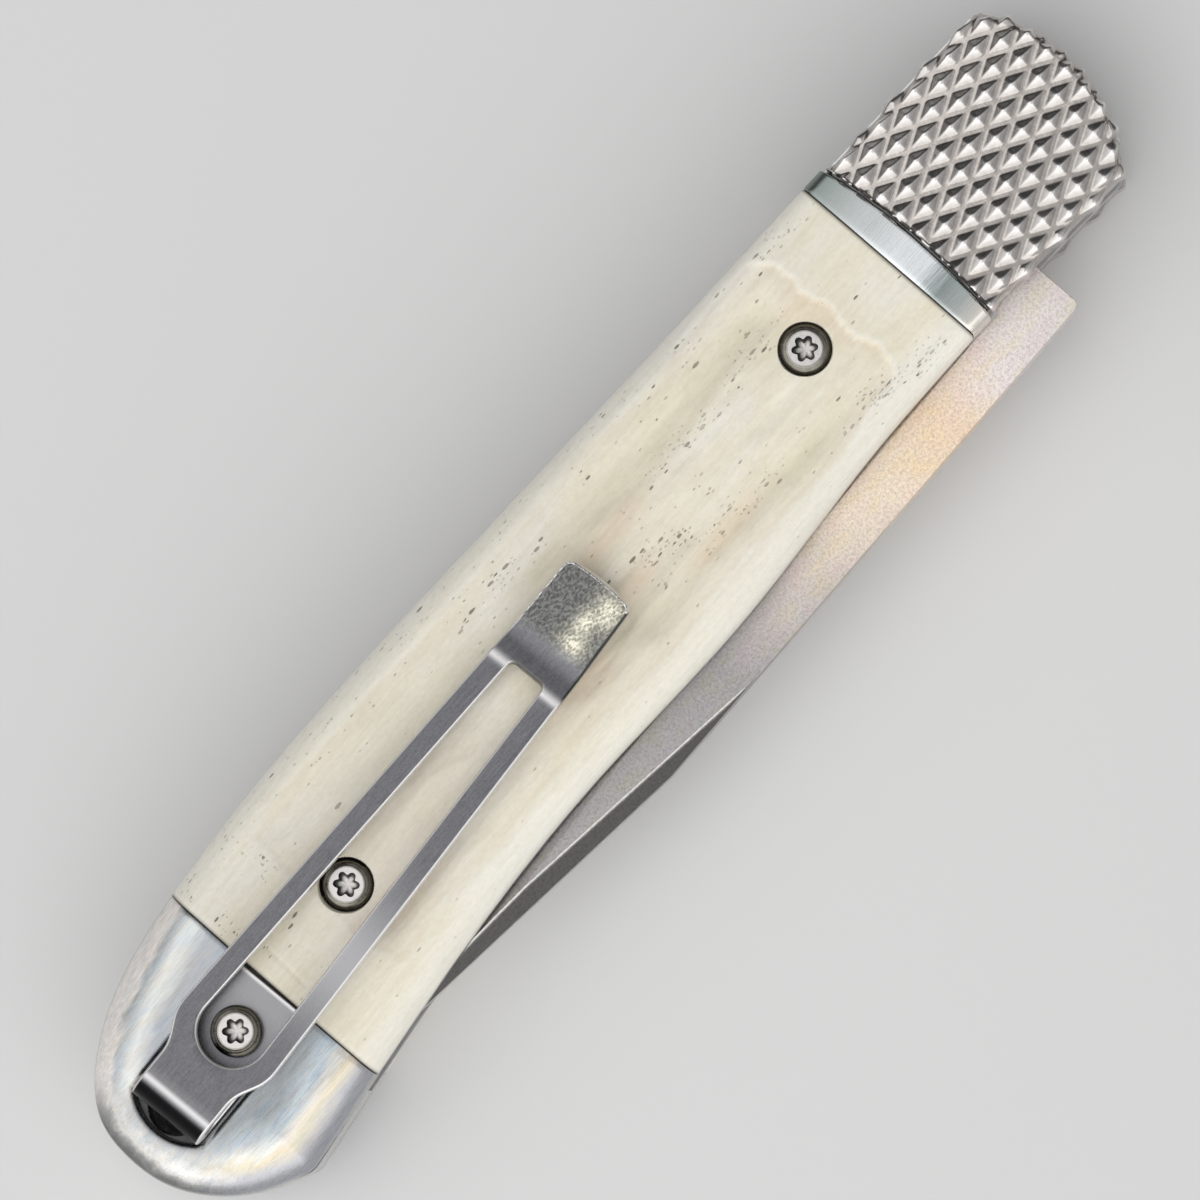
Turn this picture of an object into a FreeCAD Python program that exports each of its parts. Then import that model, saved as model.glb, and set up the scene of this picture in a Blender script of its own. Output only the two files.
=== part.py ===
import FreeCAD, Part
import math
import os

V = FreeCAD.Vector
os.makedirs("parts", exist_ok=True)

# A closed folding pocket knife lying on its mark side. Millimetres and degrees.
# X runs along the handle to the pivot end, Y to the handle's back, Z up to the clip side.
# Everything is built about the blade's middle plane and then moved to the frame's origin.

# Handle outline: a point is its distance from the named end of the handle, or its share of the
# handle's length from the rear, and its Y
closed_length = 104.8
nose_radius = 13.0
nose_y = 0.35
nose_back_corner = 1.0
nose_belly_corner = 1.6
back_at_nose_y = 7.27
back_arch_share = 0.4685
back_arch_y = 9.53
back_apex_share = 0.2891
back_apex_y = 10.04
butt_upper_from_rear = [(16.3, 9.3), (7.2, 7.4), (1.4, 3.5)]
rear_tip_y = -1.5
butt_lower_from_rear = [(1.4, -6.5), (4.3, -9.6)]
heel_from_rear = (8.0, -11.55)
heel_corner = 1.6
belly_shares = [0.1555, 0.2844, 0.4036, 0.5582, 0.7042]
belly_y = [-10.43, -9.0, -8.5, -8.97, -8.16]
belly_at_bolster_y = -8.16
bolster_flare = 3.6

# Thicknesses through the handle
blade_thickness = 2.8
side_play = 0.02
washer_thickness = 0.2
liner_thickness = 1.0
scale_thickness = 3.6
crown_radius = 45.0
land_width = 6.0
edge_radius = 2.4

# Bolsters
front_bolster_length = 20.1
rear_bolster_length = 16.3
seam = 0.06
band_width = 2.4
band_arc_radius = 60.0
band_groove_width = 0.3
band_groove_depth = 0.4
knurl_along = 3.5
knurl_across = 1.9
knurl_tilt = -4.5
knurl_depth = 0.5
knurl_crest = 0.14
knurl_floor = 0.45
knurl_edge_radius = 1.1
bolster_pin_radius = 1.0
bolster_pin_depth = 1.5
front_pins_from_front = [(15.6, 3.6), (16.2, -5.4)]
rear_pins_from_rear = [(11.4, 5.0), (11.4, -7.4)]

# Pivot, tang and backspring
pivot_from_front = 8.1
pivot_below_back = 9.92
pivot_radius = 2.0
pivot_play = 0.03
pivot_seat_depth = 1.4
washer_radius = 4.6
tang_flat = 5.2
tang_corner_radius = 6.0
shoulder_behind_pivot = 5.1
shoulder_corner = 0.5
spring_gap = 0.03
spring_head_length = 7.6
spring_leaf = 3.6
spring_hub = 4.8
spring_corner = 3.0
spring_head_ramp = 3.0
spring_hub_ramp = 4.0
spring_hub_ahead = 3.0
spring_block_length = 14.9
spring_block_corner = 1.2
spring_rear_depth = 6.0
spring_pin_radius = 1.2
center_pin_from_front = 46.4
center_pin_below_back = 2.4
rear_pin_from_rear = (5.4, 3.4)
pin_fit = 0.01

# Blade beyond the tang
tip_from_rear = 17.9
tip_y = -9.2
blade_width = 11.05
belly_start_from_tip = 26.5
clip_start_from_tip = 28.5
kick_behind_pivot = 6.4
edge_start_behind_pivot = 9.6
choil_corner = 1.2
plunge_behind_pivot = 10.4
plunge_length = 2.2
edge_half_thickness = 0.12
grind_height_at_plunge = 7.0
grind_height_at_belly = 7.6
grind_height_at_tip = 0.6
grind_steps = 5
swedge_start_from_tip = 38.1
swedge_angle = 7.0
swedge_bevel = 26.0
nick_from_tip = 47.0
nick_above_spine = 2.1
nick_radius = 9.0
nick_width = 1.1
nick_lean = 32.0
nick_depth = 0.75

# Scale screws and clip screw
front_screw_from_front = (28.8, 0.3)
rear_screw_from_rear = (25.3, 0.0)
clip_screw_from_rear = (12.2, -1.0)
head_radius = 1.9
head_height = 1.3
head_rim_height = 0.6
head_face_radius = 1.35
head_recess = 0.15
head_room = 0.2
shank_radius = 1.0
shank_room = 0.1
shank_back_off = 0.1
clip_shank_in_block = 2.4
socket_radius = 0.8
socket_lobes = 6
socket_lobe = 0.14
socket_points = 36
socket_depth = 0.8

# Pocket clip, in its own frame: x runs from the clip screw to the tip
clip_turn = 1.6
clip_sheet = 1.0
clip_bend_radius = 2.0
clip_bend_reach = 8.1
clip_base_reach = 3.8
clip_neck_width = 6.1
clip_shoulder_start = 3.7
clip_shoulder_end = 1.3
clip_shoulder_width = 8.6
clip_tip_width = 5.8
clip_slot_rear_radius = 2.63
clip_slot_front = 33.1
clip_slot_front_width = 3.0
clip_slot_corner = 0.6
clip_touch_reach = 34.9
clip_touch_gap = 0.1
clip_reach = 41.8
clip_flare = 12.0
clip_flare_radius = 4.0
clip_tip_corner = 0.5
clip_neck_corner = 1.0
clip_shoulder_corner = 1.4
pocket_depth = 1.1
pocket_room = 0.1
pocket_rear_reach = 9.2
pocket_rear_radius = 4.3
lanyard_reach = 7.0
lanyard_radius = 2.1

# How far a cutting shape runs past what it cuts, and how near two places are that count as one
past = 1.0
hair = 0.02

front_x = closed_length / 2
rear_x = -closed_length / 2
front_joint_x = front_x - front_bolster_length
rear_joint_x = rear_x + rear_bolster_length
slot_half = blade_thickness / 2 + side_play + washer_thickness
liner_outer = slot_half + liner_thickness
top = liner_outer + scale_thickness
crown_apex = top + crown_radius - math.sqrt(crown_radius ** 2 - (land_width / 2) ** 2)


def from_front(point):
    return V(front_x - point[0], point[1], 0)


def from_rear(point):
    return V(rear_x + point[0], point[1], 0)


def at_share(share, y):
    return V(rear_x + share * closed_length, y, 0)


def line(a, b):
    return Part.LineSegment(a, b).toShape()


def curve(points, start, end):
    spline = Part.BSplineCurve()
    spline.interpolate(Points=points, InitialTangent=start, FinalTangent=end)
    return spline.toShape()


def prism(points, z0, z1):
    face = Part.Face(Part.makePolygon([V(p.x, p.y, z0) for p in points + points[:1]]))
    return face.extrude(V(0, 0, z1 - z0))


def disc(x, y, radius, z0, z1):
    return Part.makeCylinder(radius, z1 - z0, V(x, y, z0))


def round_upright(shape, corner, radius):
    edges = []
    for edge in shape.Edges:
        box = edge.BoundBox
        near = math.hypot(box.Center.x - corner.x, box.Center.y - corner.y)
        if box.XLength < hair and box.YLength < hair and near < hair:
            edges.append(edge)
    return shape.makeFillet(radius, edges)


def mirrored(shape):
    return shape.mirror(V(0, 0, 0), V(0, 0, 1))


# The straight front part of the handle's back, which the open blade's spine goes on
back_front = V(front_x, back_at_nose_y, 0)
back_arch = at_share(back_arch_share, back_arch_y)
back_way = (back_front - back_arch).normalize()
back_up = V(-back_way.y, back_way.x, 0)


def back_line_at(x):
    return back_arch + back_way * ((x - back_arch.x) / back_way.x)


pivot_x = front_x - pivot_from_front
pivot_y = back_line_at(pivot_x).y - pivot_below_back / back_up.y
pivot = V(pivot_x, pivot_y, 0)
spine_y = pivot_y - pivot_below_back


def outline():
    # Where the nose arc meets the back line and the flared belly of the front bolster
    nose_center = V(front_x - nose_radius, nose_y, 0)
    belly_joint = V(front_joint_x, belly_at_bolster_y, 0)
    flare_way = V(math.cos(math.radians(bolster_flare)), -math.sin(math.radians(bolster_flare)), 0)

    def onto_nose(start, way):
        offset = start - nose_center
        along = offset.dot(way)
        return start + way * (math.sqrt(along ** 2 - offset.dot(offset) + nose_radius ** 2) - along)

    nose_back = onto_nose(back_arch, back_way)
    nose_belly = onto_nose(belly_joint, flare_way)
    apex = at_share(back_apex_share, back_apex_y)
    rear_tip = V(rear_x, rear_tip_y, 0)
    heel = from_rear(heel_from_rear)
    butt_upper = [from_rear(p) for p in butt_upper_from_rear]
    butt_lower = [from_rear(p) for p in butt_lower_from_rear]
    belly = [at_share(share, y) for share, y in zip(belly_shares, belly_y)]
    edges = [
        line(nose_back, back_arch),
        curve([back_arch, apex], back_way * -1, V(-1, 0, 0)),
        curve([apex] + butt_upper + [rear_tip], V(-1, 0, 0), V(0, -1, 0)),
        curve([rear_tip] + butt_lower + [heel], V(0, -1, 0), heel - butt_lower[-1]),
        curve([heel] + belly + [belly_joint], belly[0] - heel, V(1, 0, 0)),
        line(belly_joint, nose_belly),
        Part.Arc(nose_belly, V(front_x, nose_y, 0), nose_back).toShape(),
    ]
    sharp = Part.Face(Part.Wire(edges))
    block = sharp.extrude(V(0, 0, past))
    block = round_upright(block, nose_back, nose_back_corner)
    block = round_upright(block, nose_belly, nose_belly_corner)
    block = round_upright(block, heel, heel_corner)
    return sharp, [face for face in block.Faces if face.BoundBox.ZMax < hair][0]


sharp_outline, round_outline = outline()


def slab(z0, z1, outline_face=round_outline):
    face = outline_face.copy()
    face.translate(V(0, 0, z0))
    return face.extrude(V(0, 0, z1 - z0))


def half_shell(rim_radius):
    # One side's crowned, round-edged outer half, later parted into two bolsters and a scale
    length = closed_length + 2 * past
    axis_z = crown_apex - crown_radius
    crown = Part.makeCylinder(crown_radius, length, V(-length / 2, 0, axis_z), V(1, 0, 0))
    crown.rotate(V(0, 0, axis_z), V(1, 0, 0), 180)
    shell = slab(liner_outer, crown_apex + past, sharp_outline).common(crown)
    border = sharp_outline.OuterWire
    rim = []
    for edge in shell.Edges:
        middle = edge.valueAt((edge.FirstParameter + edge.LastParameter) / 2)
        to_border = border.distToShape(Part.Vertex(middle.x, middle.y, border.BoundBox.ZMin))[0]
        if to_border < hair and edge.BoundBox.ZMin > liner_outer + hair:
            rim.append(edge)
    return shell.makeFillet(rim_radius, rim).common(slab(liner_outer, top))


def between(shape, x0, x1):
    box = shape.BoundBox
    low = V(x0, box.YMin - past, box.ZMin - past)
    return shape.common(Part.makeBox(x1 - x0, box.YLength + 2 * past, box.ZLength + 2 * past, low))


def band_disc(radius, z0, z1):
    return disc(front_joint_x + band_width - band_arc_radius, 0, radius, z0, z1)


def knurl_grooves(angle, zone):
    # Parallel flat-bottomed grooves that follow the crown, each turned about an axis far below it
    along = V(math.cos(math.radians(angle)), math.sin(math.radians(angle)), 0)
    across = V(-along.y, along.x, 0)
    pitch = knurl_along * knurl_across / math.hypot(knurl_along, knurl_across)
    low_half = knurl_floor / 2
    high_half = pitch - knurl_crest - low_half
    bend = crown_radius / along.y ** 2
    reach = math.hypot(front_bolster_length, 2 * back_apex_y) / 2 + past
    center = V(front_x - front_bolster_length / 2, 0, 0)
    count = int(reach / pitch)
    grooves = []
    for step in range(-count, count + 1):
        foot = center + across * (step * pitch)
        to_crest = -foot.y / along.y
        crest = foot + along * to_crest
        low = crest + V(0, 0, crown_apex - knurl_depth)
        high = crest + V(0, 0, crown_apex + knurl_depth)
        corners = [
            low - across * low_half,
            low + across * low_half,
            high + across * high_half,
            high - across * high_half,
        ]
        face = Part.Face(Part.makePolygon(corners + corners[:1]))
        below = crest + V(0, 0, crown_apex - bend)
        face.rotate(below, across, math.degrees((-reach - to_crest) / bend))
        groove = face.revolve(below, across, math.degrees(2 * reach / bend))
        groove = groove.common(zone)
        if groove.Solids:
            grooves.append(groove)
    return grooves


def front_bolster(shell):
    bolster = between(shell, front_joint_x + seam / 2, front_x + past)
    ring = band_disc(band_arc_radius + band_groove_width, liner_outer, top + past)
    ring = ring.cut(band_disc(band_arc_radius, liner_outer, top + past))
    core = Part.makeCylinder(crown_radius - band_groove_depth, closed_length,
                             V(0, 0, crown_apex - crown_radius), V(1, 0, 0))
    bolster = bolster.cut(ring.cut(core))
    zone = between(slab(0, crown_apex + past, sharp_outline), front_joint_x, front_x)
    zone = zone.cut(band_disc(band_arc_radius + band_groove_width / 2, -past, crown_apex + 2 * past))
    half_angle = math.degrees(math.atan2(knurl_across, knurl_along))
    for angle in (half_angle + knurl_tilt, -half_angle + knurl_tilt):
        bolster = bolster.cut(knurl_grooves(angle, zone))
    holes = [disc(pivot.x, pivot.y, pivot_radius + pin_fit, liner_outer, liner_outer + pivot_seat_depth)]
    holes += bolster_pin_set([from_front(p) for p in front_pins_from_front], pin_fit)
    return bolster.cut(holes)


def bolster_pin_set(spots, fit):
    end_z = liner_outer + bolster_pin_depth
    return [disc(p.x, p.y, bolster_pin_radius + fit, slot_half, end_z) for p in spots]


# The clip's frame, with its origin on the clip screw
clip_origin = from_rear(clip_screw_from_rear)


def placed_by_clip(shape):
    shape.translate(clip_origin)
    shape.rotate(clip_origin, V(0, 0, 1), clip_turn)
    return shape


def clip_point(x, y):
    turn = math.radians(clip_turn)
    along = V(math.cos(turn), math.sin(turn), 0)
    return clip_origin + along * x + V(-along.y, along.x, 0) * y


lanyard = clip_point(-lanyard_reach, 0)
pocket_floor = top - pocket_depth
bend_z = pocket_floor + clip_bend_radius
bend_x = clip_bend_radius - clip_bend_reach
bend_inner = clip_bend_radius - clip_sheet


def rear_bolster(shell):
    bolster = between(shell, rear_x - past, rear_joint_x - seam / 2)
    holes = bolster_pin_set([from_rear(p) for p in rear_pins_from_rear], pin_fit)
    holes.append(disc(lanyard.x, lanyard.y, lanyard_radius, 0, top + past))
    return bolster.cut(holes)


def clip_pocket():
    half = clip_neck_width / 2 + pocket_room
    rise = pocket_rear_radius - math.sqrt(pocket_rear_radius ** 2 - half ** 2)
    corner = -pocket_rear_reach + rise
    ahead = rear_joint_x - clip_origin.x + past
    edges = [
        line(V(ahead, -half, 0), V(ahead, half, 0)),
        line(V(ahead, half, 0), V(corner, half, 0)),
        Part.Arc(V(corner, half, 0), V(-pocket_rear_reach, 0, 0), V(corner, -half, 0)).toShape(),
        line(V(corner, -half, 0), V(ahead, -half, 0)),
    ]
    pocket = Part.Face(Part.Wire(edges)).extrude(V(0, 0, pocket_depth + past))
    pocket.translate(V(0, 0, pocket_floor))
    return placed_by_clip(pocket)


def scale(shell):
    # Bone scale with a countersunk seat for the head of each screw
    bone = between(shell, rear_joint_x + seam / 2, front_joint_x - seam / 2)
    for spot in (from_front(front_screw_from_front), from_rear(rear_screw_from_rear)):
        seat = disc(spot.x, spot.y, head_radius + head_room, top - head_recess - head_height, top + past)
        hole = disc(spot.x, spot.y, shank_radius + shank_room, liner_outer - past, top)
        bone = bone.cut([seat, hole])
    return bone


def liner():
    plate = slab(slot_half, liner_outer)
    center_pin = center_pin_spot()
    rear_pin = from_rear(rear_pin_from_rear)
    holes = [disc(pivot.x, pivot.y, pivot_radius + pin_fit, 0, top)]
    holes += [disc(p.x, p.y, spring_pin_radius + pin_fit, 0, top) for p in (center_pin, rear_pin)]
    screws = (from_front(front_screw_from_front), from_rear(rear_screw_from_rear))
    holes += [disc(p.x, p.y, shank_radius + pin_fit, 0, top) for p in screws]
    holes.append(disc(lanyard.x, lanyard.y, lanyard_radius, 0, top))
    spots = [from_front(p) for p in front_pins_from_front] + [from_rear(p) for p in rear_pins_from_rear]
    holes += bolster_pin_set(spots, pin_fit)
    return plate.cut(holes)


def center_pin_spot():
    return back_line_at(front_x - center_pin_from_front) - back_up * center_pin_below_back


def spring_point(u, v):
    return pivot + back_way * u + back_up * v


def backspring():
    under_tang = tang_flat + spring_gap
    head_end = shoulder_behind_pivot - spring_gap
    center_pin = center_pin_spot()
    hub_u = (center_pin - pivot).dot(back_way)
    leaf_v = pivot_below_back - spring_leaf
    hub_v = pivot_below_back - spring_hub
    block_x = rear_x + spring_block_length
    head_rear = spring_point(-spring_head_length, under_tang)
    leaf_front = spring_point(-spring_head_length - spring_head_ramp, leaf_v)
    leaf_rear = spring_point(hub_u + spring_hub_ahead + spring_hub_ramp, leaf_v)
    hub_front = spring_point(hub_u + spring_hub_ahead, hub_v)
    block_top = V(block_x, back_apex_y - spring_rear_depth, 0)
    below = heel_from_rear[1] - past
    above = back_apex_y + past
    corners = [
        spring_point(head_end, pivot_below_back + past),
        spring_point(head_end, under_tang),
        head_rear,
        leaf_front,
        leaf_rear,
        hub_front,
        back_arch - back_up * spring_hub,
        block_top,
        V(block_x, below, 0),
        V(rear_x - past, below, 0),
        V(rear_x - past, above, 0),
        V(back_arch.x, above, 0),
    ]
    region = prism(corners, -slot_half, slot_half)
    for corner in (head_rear, leaf_front, leaf_rear, hub_front):
        region = round_upright(region, corner, spring_corner)
    region = round_upright(region, block_top, spring_block_corner)
    spring = slab(-slot_half, slot_half).common(region)
    holes = [disc(p.x, p.y, spring_pin_radius + pin_fit, -top, top)
             for p in (center_pin, from_rear(rear_pin_from_rear))]
    holes.append(disc(lanyard.x, lanyard.y, lanyard_radius, -top, top))
    holes.append(disc(clip_origin.x, clip_origin.y, shank_radius + pin_fit,
                      slot_half - clip_shank_in_block - shank_room, top))
    return spring.cut(holes)


tip = V(rear_x + tip_from_rear, tip_y, 0)
edge_y = spine_y + blade_width


def belly_edge(x):
    # Y of the cutting edge: straight, then an arc that bends to the tip
    start = tip.x + belly_start_from_tip
    drop = edge_y - tip_y
    radius = (belly_start_from_tip ** 2 + drop ** 2) / (2 * drop)
    if x > start:
        return edge_y
    return edge_y - radius + math.sqrt(radius ** 2 - (start - x) ** 2)


def blade_outline():
    flat_run = math.sqrt(tang_corner_radius ** 2 - tang_flat ** 2)
    shoulder_x = pivot.x - shoulder_behind_pivot
    kick = spring_point(-kick_behind_pivot, tang_flat)
    closed_end = spring_point(flat_run, tang_flat)
    half_stop = [pivot + V(tang_flat, flat_run, 0), pivot + V(tang_flat, -flat_run, 0)]
    open_end = pivot + V(flat_run, -tang_flat, 0)

    def corner_arc(a, b):
        middle = ((a - pivot) + (b - pivot)).normalize() * tang_corner_radius
        return Part.Arc(a, pivot + middle, b).toShape()

    edge_start = V(pivot.x - edge_start_behind_pivot, edge_y, 0)
    belly_start = V(tip.x + belly_start_from_tip, edge_y, 0)
    belly_middle_x = tip.x + belly_start_from_tip / 2
    belly_middle = V(belly_middle_x, belly_edge(belly_middle_x), 0)
    clip_start = V(tip.x + clip_start_from_tip, spine_y, 0)
    notch = V(shoulder_x, pivot.y - tang_flat, 0)
    shoulder = V(shoulder_x, spine_y, 0)
    edges = [
        line(shoulder, notch),
        line(notch, open_end),
        corner_arc(open_end, half_stop[1]),
        line(half_stop[1], half_stop[0]),
        corner_arc(half_stop[0], closed_end),
        line(closed_end, kick),
        line(kick, edge_start),
        line(edge_start, belly_start),
        Part.Arc(belly_start, belly_middle, tip).toShape(),
        line(tip, clip_start),
        line(clip_start, shoulder),
    ]
    body = Part.Face(Part.Wire(edges)).extrude(V(0, 0, blade_thickness))
    body.translate(V(0, 0, -blade_thickness / 2))
    body = round_upright(body, shoulder, shoulder_corner)
    body = round_upright(body, kick, choil_corner)
    return round_upright(body, edge_start, choil_corner)


def grind():
    # What the flat grind takes off the clip-side face, from the plunge to past the tip
    half = blade_thickness / 2
    plunge_x = pivot.x - plunge_behind_pivot
    belly_x = tip.x + belly_start_from_tip
    end_x = tip.x - past
    stations = [plunge_x, plunge_x - plunge_length, belly_x]
    stations += [belly_x + (end_x - belly_x) * step / grind_steps for step in range(1, grind_steps + 1)]
    sections = []
    for x in stations:
        if x >= belly_x:
            share = (plunge_x - x) / (plunge_x - belly_x)
            height = grind_height_at_plunge + (grind_height_at_belly - grind_height_at_plunge) * share
            low = edge_y - height
        else:
            share = (belly_x - x) / (belly_x - end_x)
            low = edge_y - grind_height_at_belly
            low += (belly_edge(end_x) - grind_height_at_tip - low) * share
        edge = belly_edge(x)
        thin = half - side_play if x == plunge_x else edge_half_thickness
        slope = (half - thin) / (edge - low)
        corners = [
            V(x, low, half),
            V(x, edge + past, thin - slope * past),
            V(x, edge + past, half + past),
            V(x, low, half + past),
        ]
        sections.append(Part.makePolygon(corners + corners[:1]))
    return Part.makeLoft(sections, True, True)


def swedge():
    # What the swedge takes off the clip-side face, outside a straight ridge line
    half = blade_thickness / 2
    start = V(tip.x + swedge_start_from_tip, spine_y, half)
    turn = math.radians(180 - swedge_angle)
    along = V(math.cos(turn), math.sin(turn), 0)
    outward = V(-along.y, along.x, 0)
    far = outward * (blade_width / 2)
    fall = V(0, 0, blade_width / 2 * math.tan(math.radians(swedge_bevel)))
    over = V(0, 0, past)
    corners = [start, start + far - fall, start + far + over, start + over]
    face = Part.Face(Part.makePolygon(corners + corners[:1]))
    return face.extrude(along * (swedge_start_from_tip + blade_width / 2))


def nail_nick():
    wheel = Part.makeCylinder(nick_radius, nick_width, V(0, -nick_width / 2, 0), V(0, 1, 0))
    wheel.rotate(V(0, 0, 0), V(1, 0, 0), nick_lean)
    lean = math.radians(nick_lean)
    reach = nick_radius * math.cos(lean) + nick_width / 2 * math.sin(lean)
    nick_x = tip.x + nick_from_tip
    nick_y = spine_y + nick_above_spine - nick_radius * math.sin(lean)
    wheel.translate(V(nick_x, nick_y, nick_depth - blade_thickness / 2 - reach))
    return wheel


def blade():
    bevel = grind()
    false_edge = swedge()
    hole = disc(pivot.x, pivot.y, pivot_radius + pivot_play, -top, top)
    body = blade_outline().cut([bevel, mirrored(bevel)])
    body = body.cut([false_edge, mirrored(false_edge)])
    return body.cut([hole, nail_nick()])


def washer():
    z0 = blade_thickness / 2 + side_play
    ring = disc(pivot.x, pivot.y, washer_radius, z0, slot_half)
    return ring.cut(disc(pivot.x, pivot.y, pivot_radius + pin_fit, 0, top))


def pivot_pin():
    reach = liner_outer + pivot_seat_depth
    return disc(pivot.x, pivot.y, pivot_radius, -reach, reach)


def spring_pin(spot):
    return disc(spot.x, spot.y, spring_pin_radius, -liner_outer, liner_outer)


def screw(spot, seat_z, end_z):
    # Button-head screw standing on seat_z, with a six-lobe socket
    head_top = seat_z + head_height
    points = [V(0, 0, seat_z), V(head_radius, 0, seat_z), V(head_radius, 0, seat_z + head_rim_height)]
    points += [V(head_face_radius, 0, head_top), V(0, 0, head_top)]
    head = Part.Face(Part.makePolygon(points + points[:1])).revolve(V(0, 0, 0), V(0, 0, 1), 360)
    shank = disc(0, 0, shank_radius, end_z, seat_z)
    lobes = []
    for step in range(socket_points):
        turn = 2 * math.pi * step / socket_points
        radius = socket_radius + socket_lobe * math.cos(socket_lobes * turn)
        lobes.append(V(radius * math.cos(turn), radius * math.sin(turn), head_top - socket_depth))
    rim = Part.BSplineCurve()
    rim.interpolate(Points=lobes, PeriodicFlag=True)
    socket = Part.Face(Part.Wire([rim.toShape()])).extrude(V(0, 0, socket_depth + past))
    body = head.fuse(shank).removeSplitter().cut(socket)
    body.translate(V(spot.x, spot.y, 0))
    return body


def on_bend(radius, degrees):
    turn = math.radians(degrees)
    return V(bend_x + radius * math.cos(turn), 0, bend_z + radius * math.sin(turn))


def clip_arm():
    # The upper half of the bend, the arm that comes down to the bone, and the flared tip
    inner = bend_inner
    outer = clip_bend_radius
    touch = V(clip_touch_reach, 0, top + clip_touch_gap)
    slope = math.atan2(bend_z + inner - touch.z, touch.x - bend_x)
    end = 90 - math.degrees(slope)
    flare = math.radians(clip_flare)
    rise = clip_reach + past - clip_touch_reach
    tip_low = touch + V(rise, 0, rise * math.tan(flare))
    half_bend = (slope + flare) / 2
    lean = flare - half_bend
    offset = V(-math.sin(lean), 0, math.cos(lean)) * (clip_sheet / math.cos(half_bend))
    touch_high = touch + offset
    tip_high = tip_low + V(-math.sin(flare), 0, math.cos(flare)) * clip_sheet
    edges = [
        line(on_bend(inner, 180), on_bend(outer, 180)),
        Part.Arc(on_bend(outer, 180), on_bend(outer, 135), on_bend(outer, end)).toShape(),
        line(on_bend(outer, end), touch_high),
        line(touch_high, tip_high),
        line(tip_high, tip_low),
        line(tip_low, touch),
        line(touch, on_bend(inner, end)),
        Part.Arc(on_bend(inner, end), on_bend(inner, 135), on_bend(inner, 180)).toShape(),
    ]
    strip = Part.Face(Part.Wire(edges)).extrude(V(0, clip_shoulder_width + 2 * past, 0))
    strip.translate(V(0, -clip_shoulder_width / 2 - past, 0))
    creases = []
    for edge in strip.Edges:
        box = edge.BoundBox
        if box.YLength > clip_shoulder_width and abs(box.Center.x - touch.x) < clip_sheet / 2:
            creases.append(edge)
    strip = strip.makeFillet(clip_flare_radius, creases)
    plan = clip_plan()
    return placed_by_clip(strip.common(plan))


def clip_plan():
    neck = clip_neck_width / 2
    wide = clip_shoulder_width / 2
    narrow = clip_tip_width / 2
    shape = [
        V(-clip_bend_reach - past, -neck, 0),
        V(-clip_shoulder_start, -neck, 0),
        V(-clip_shoulder_end, -wide, 0),
        V(clip_reach, -narrow, 0),
        V(clip_reach, narrow, 0),
        V(-clip_shoulder_end, wide, 0),
        V(-clip_shoulder_start, neck, 0),
        V(-clip_bend_reach - past, neck, 0),
    ]
    above = bend_z + clip_bend_radius + past
    plan = prism(shape, 0, above)
    rounding = {1: clip_neck_corner, 2: clip_shoulder_corner, 3: clip_tip_corner}
    for corner, radius in rounding.items():
        plan = round_upright(plan, shape[corner], radius)
        plan = round_upright(plan, shape[-1 - corner], radius)
    slot_half_width = clip_slot_front_width / 2
    slot_shape = [
        V(0, -clip_slot_rear_radius, 0),
        V(clip_slot_front, -slot_half_width, 0),
        V(clip_slot_front, slot_half_width, 0),
        V(0, clip_slot_rear_radius, 0),
    ]
    slot = prism(slot_shape, 0, above)
    for corner in (1, 2):
        slot = round_upright(slot, slot_shape[corner], clip_slot_corner)
    return plan.cut([slot, disc(0, 0, clip_slot_rear_radius, 0, above)])


def clip_base():
    # The lower half of the bend, and the foot under the clip screw
    inner = bend_inner
    outer = clip_bend_radius
    foot_low = V(clip_base_reach, 0, bend_z - outer)
    foot_high = V(clip_base_reach, 0, bend_z - inner)
    edges = [
        line(on_bend(inner, 180), on_bend(outer, 180)),
        Part.Arc(on_bend(outer, 180), on_bend(outer, 225), on_bend(outer, 270)).toShape(),
        line(on_bend(outer, 270), foot_low),
        line(foot_low, foot_high),
        line(foot_high, on_bend(inner, 270)),
        Part.Arc(on_bend(inner, 270), on_bend(inner, 225), on_bend(inner, 180)).toShape(),
    ]
    strip = Part.Face(Part.Wire(edges)).extrude(V(0, clip_neck_width, 0))
    strip.translate(V(0, -clip_neck_width / 2, 0))
    strip = strip.cut(disc(0, 0, shank_radius + shank_room, 0, top + past))
    return placed_by_clip(strip)


def clip_side_rear_bolster(shell):
    bolster = rear_bolster(shell).cut(clip_pocket())
    return bolster.cut(disc(clip_origin.x, clip_origin.y, shank_radius + shank_room, 0, top))


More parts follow.
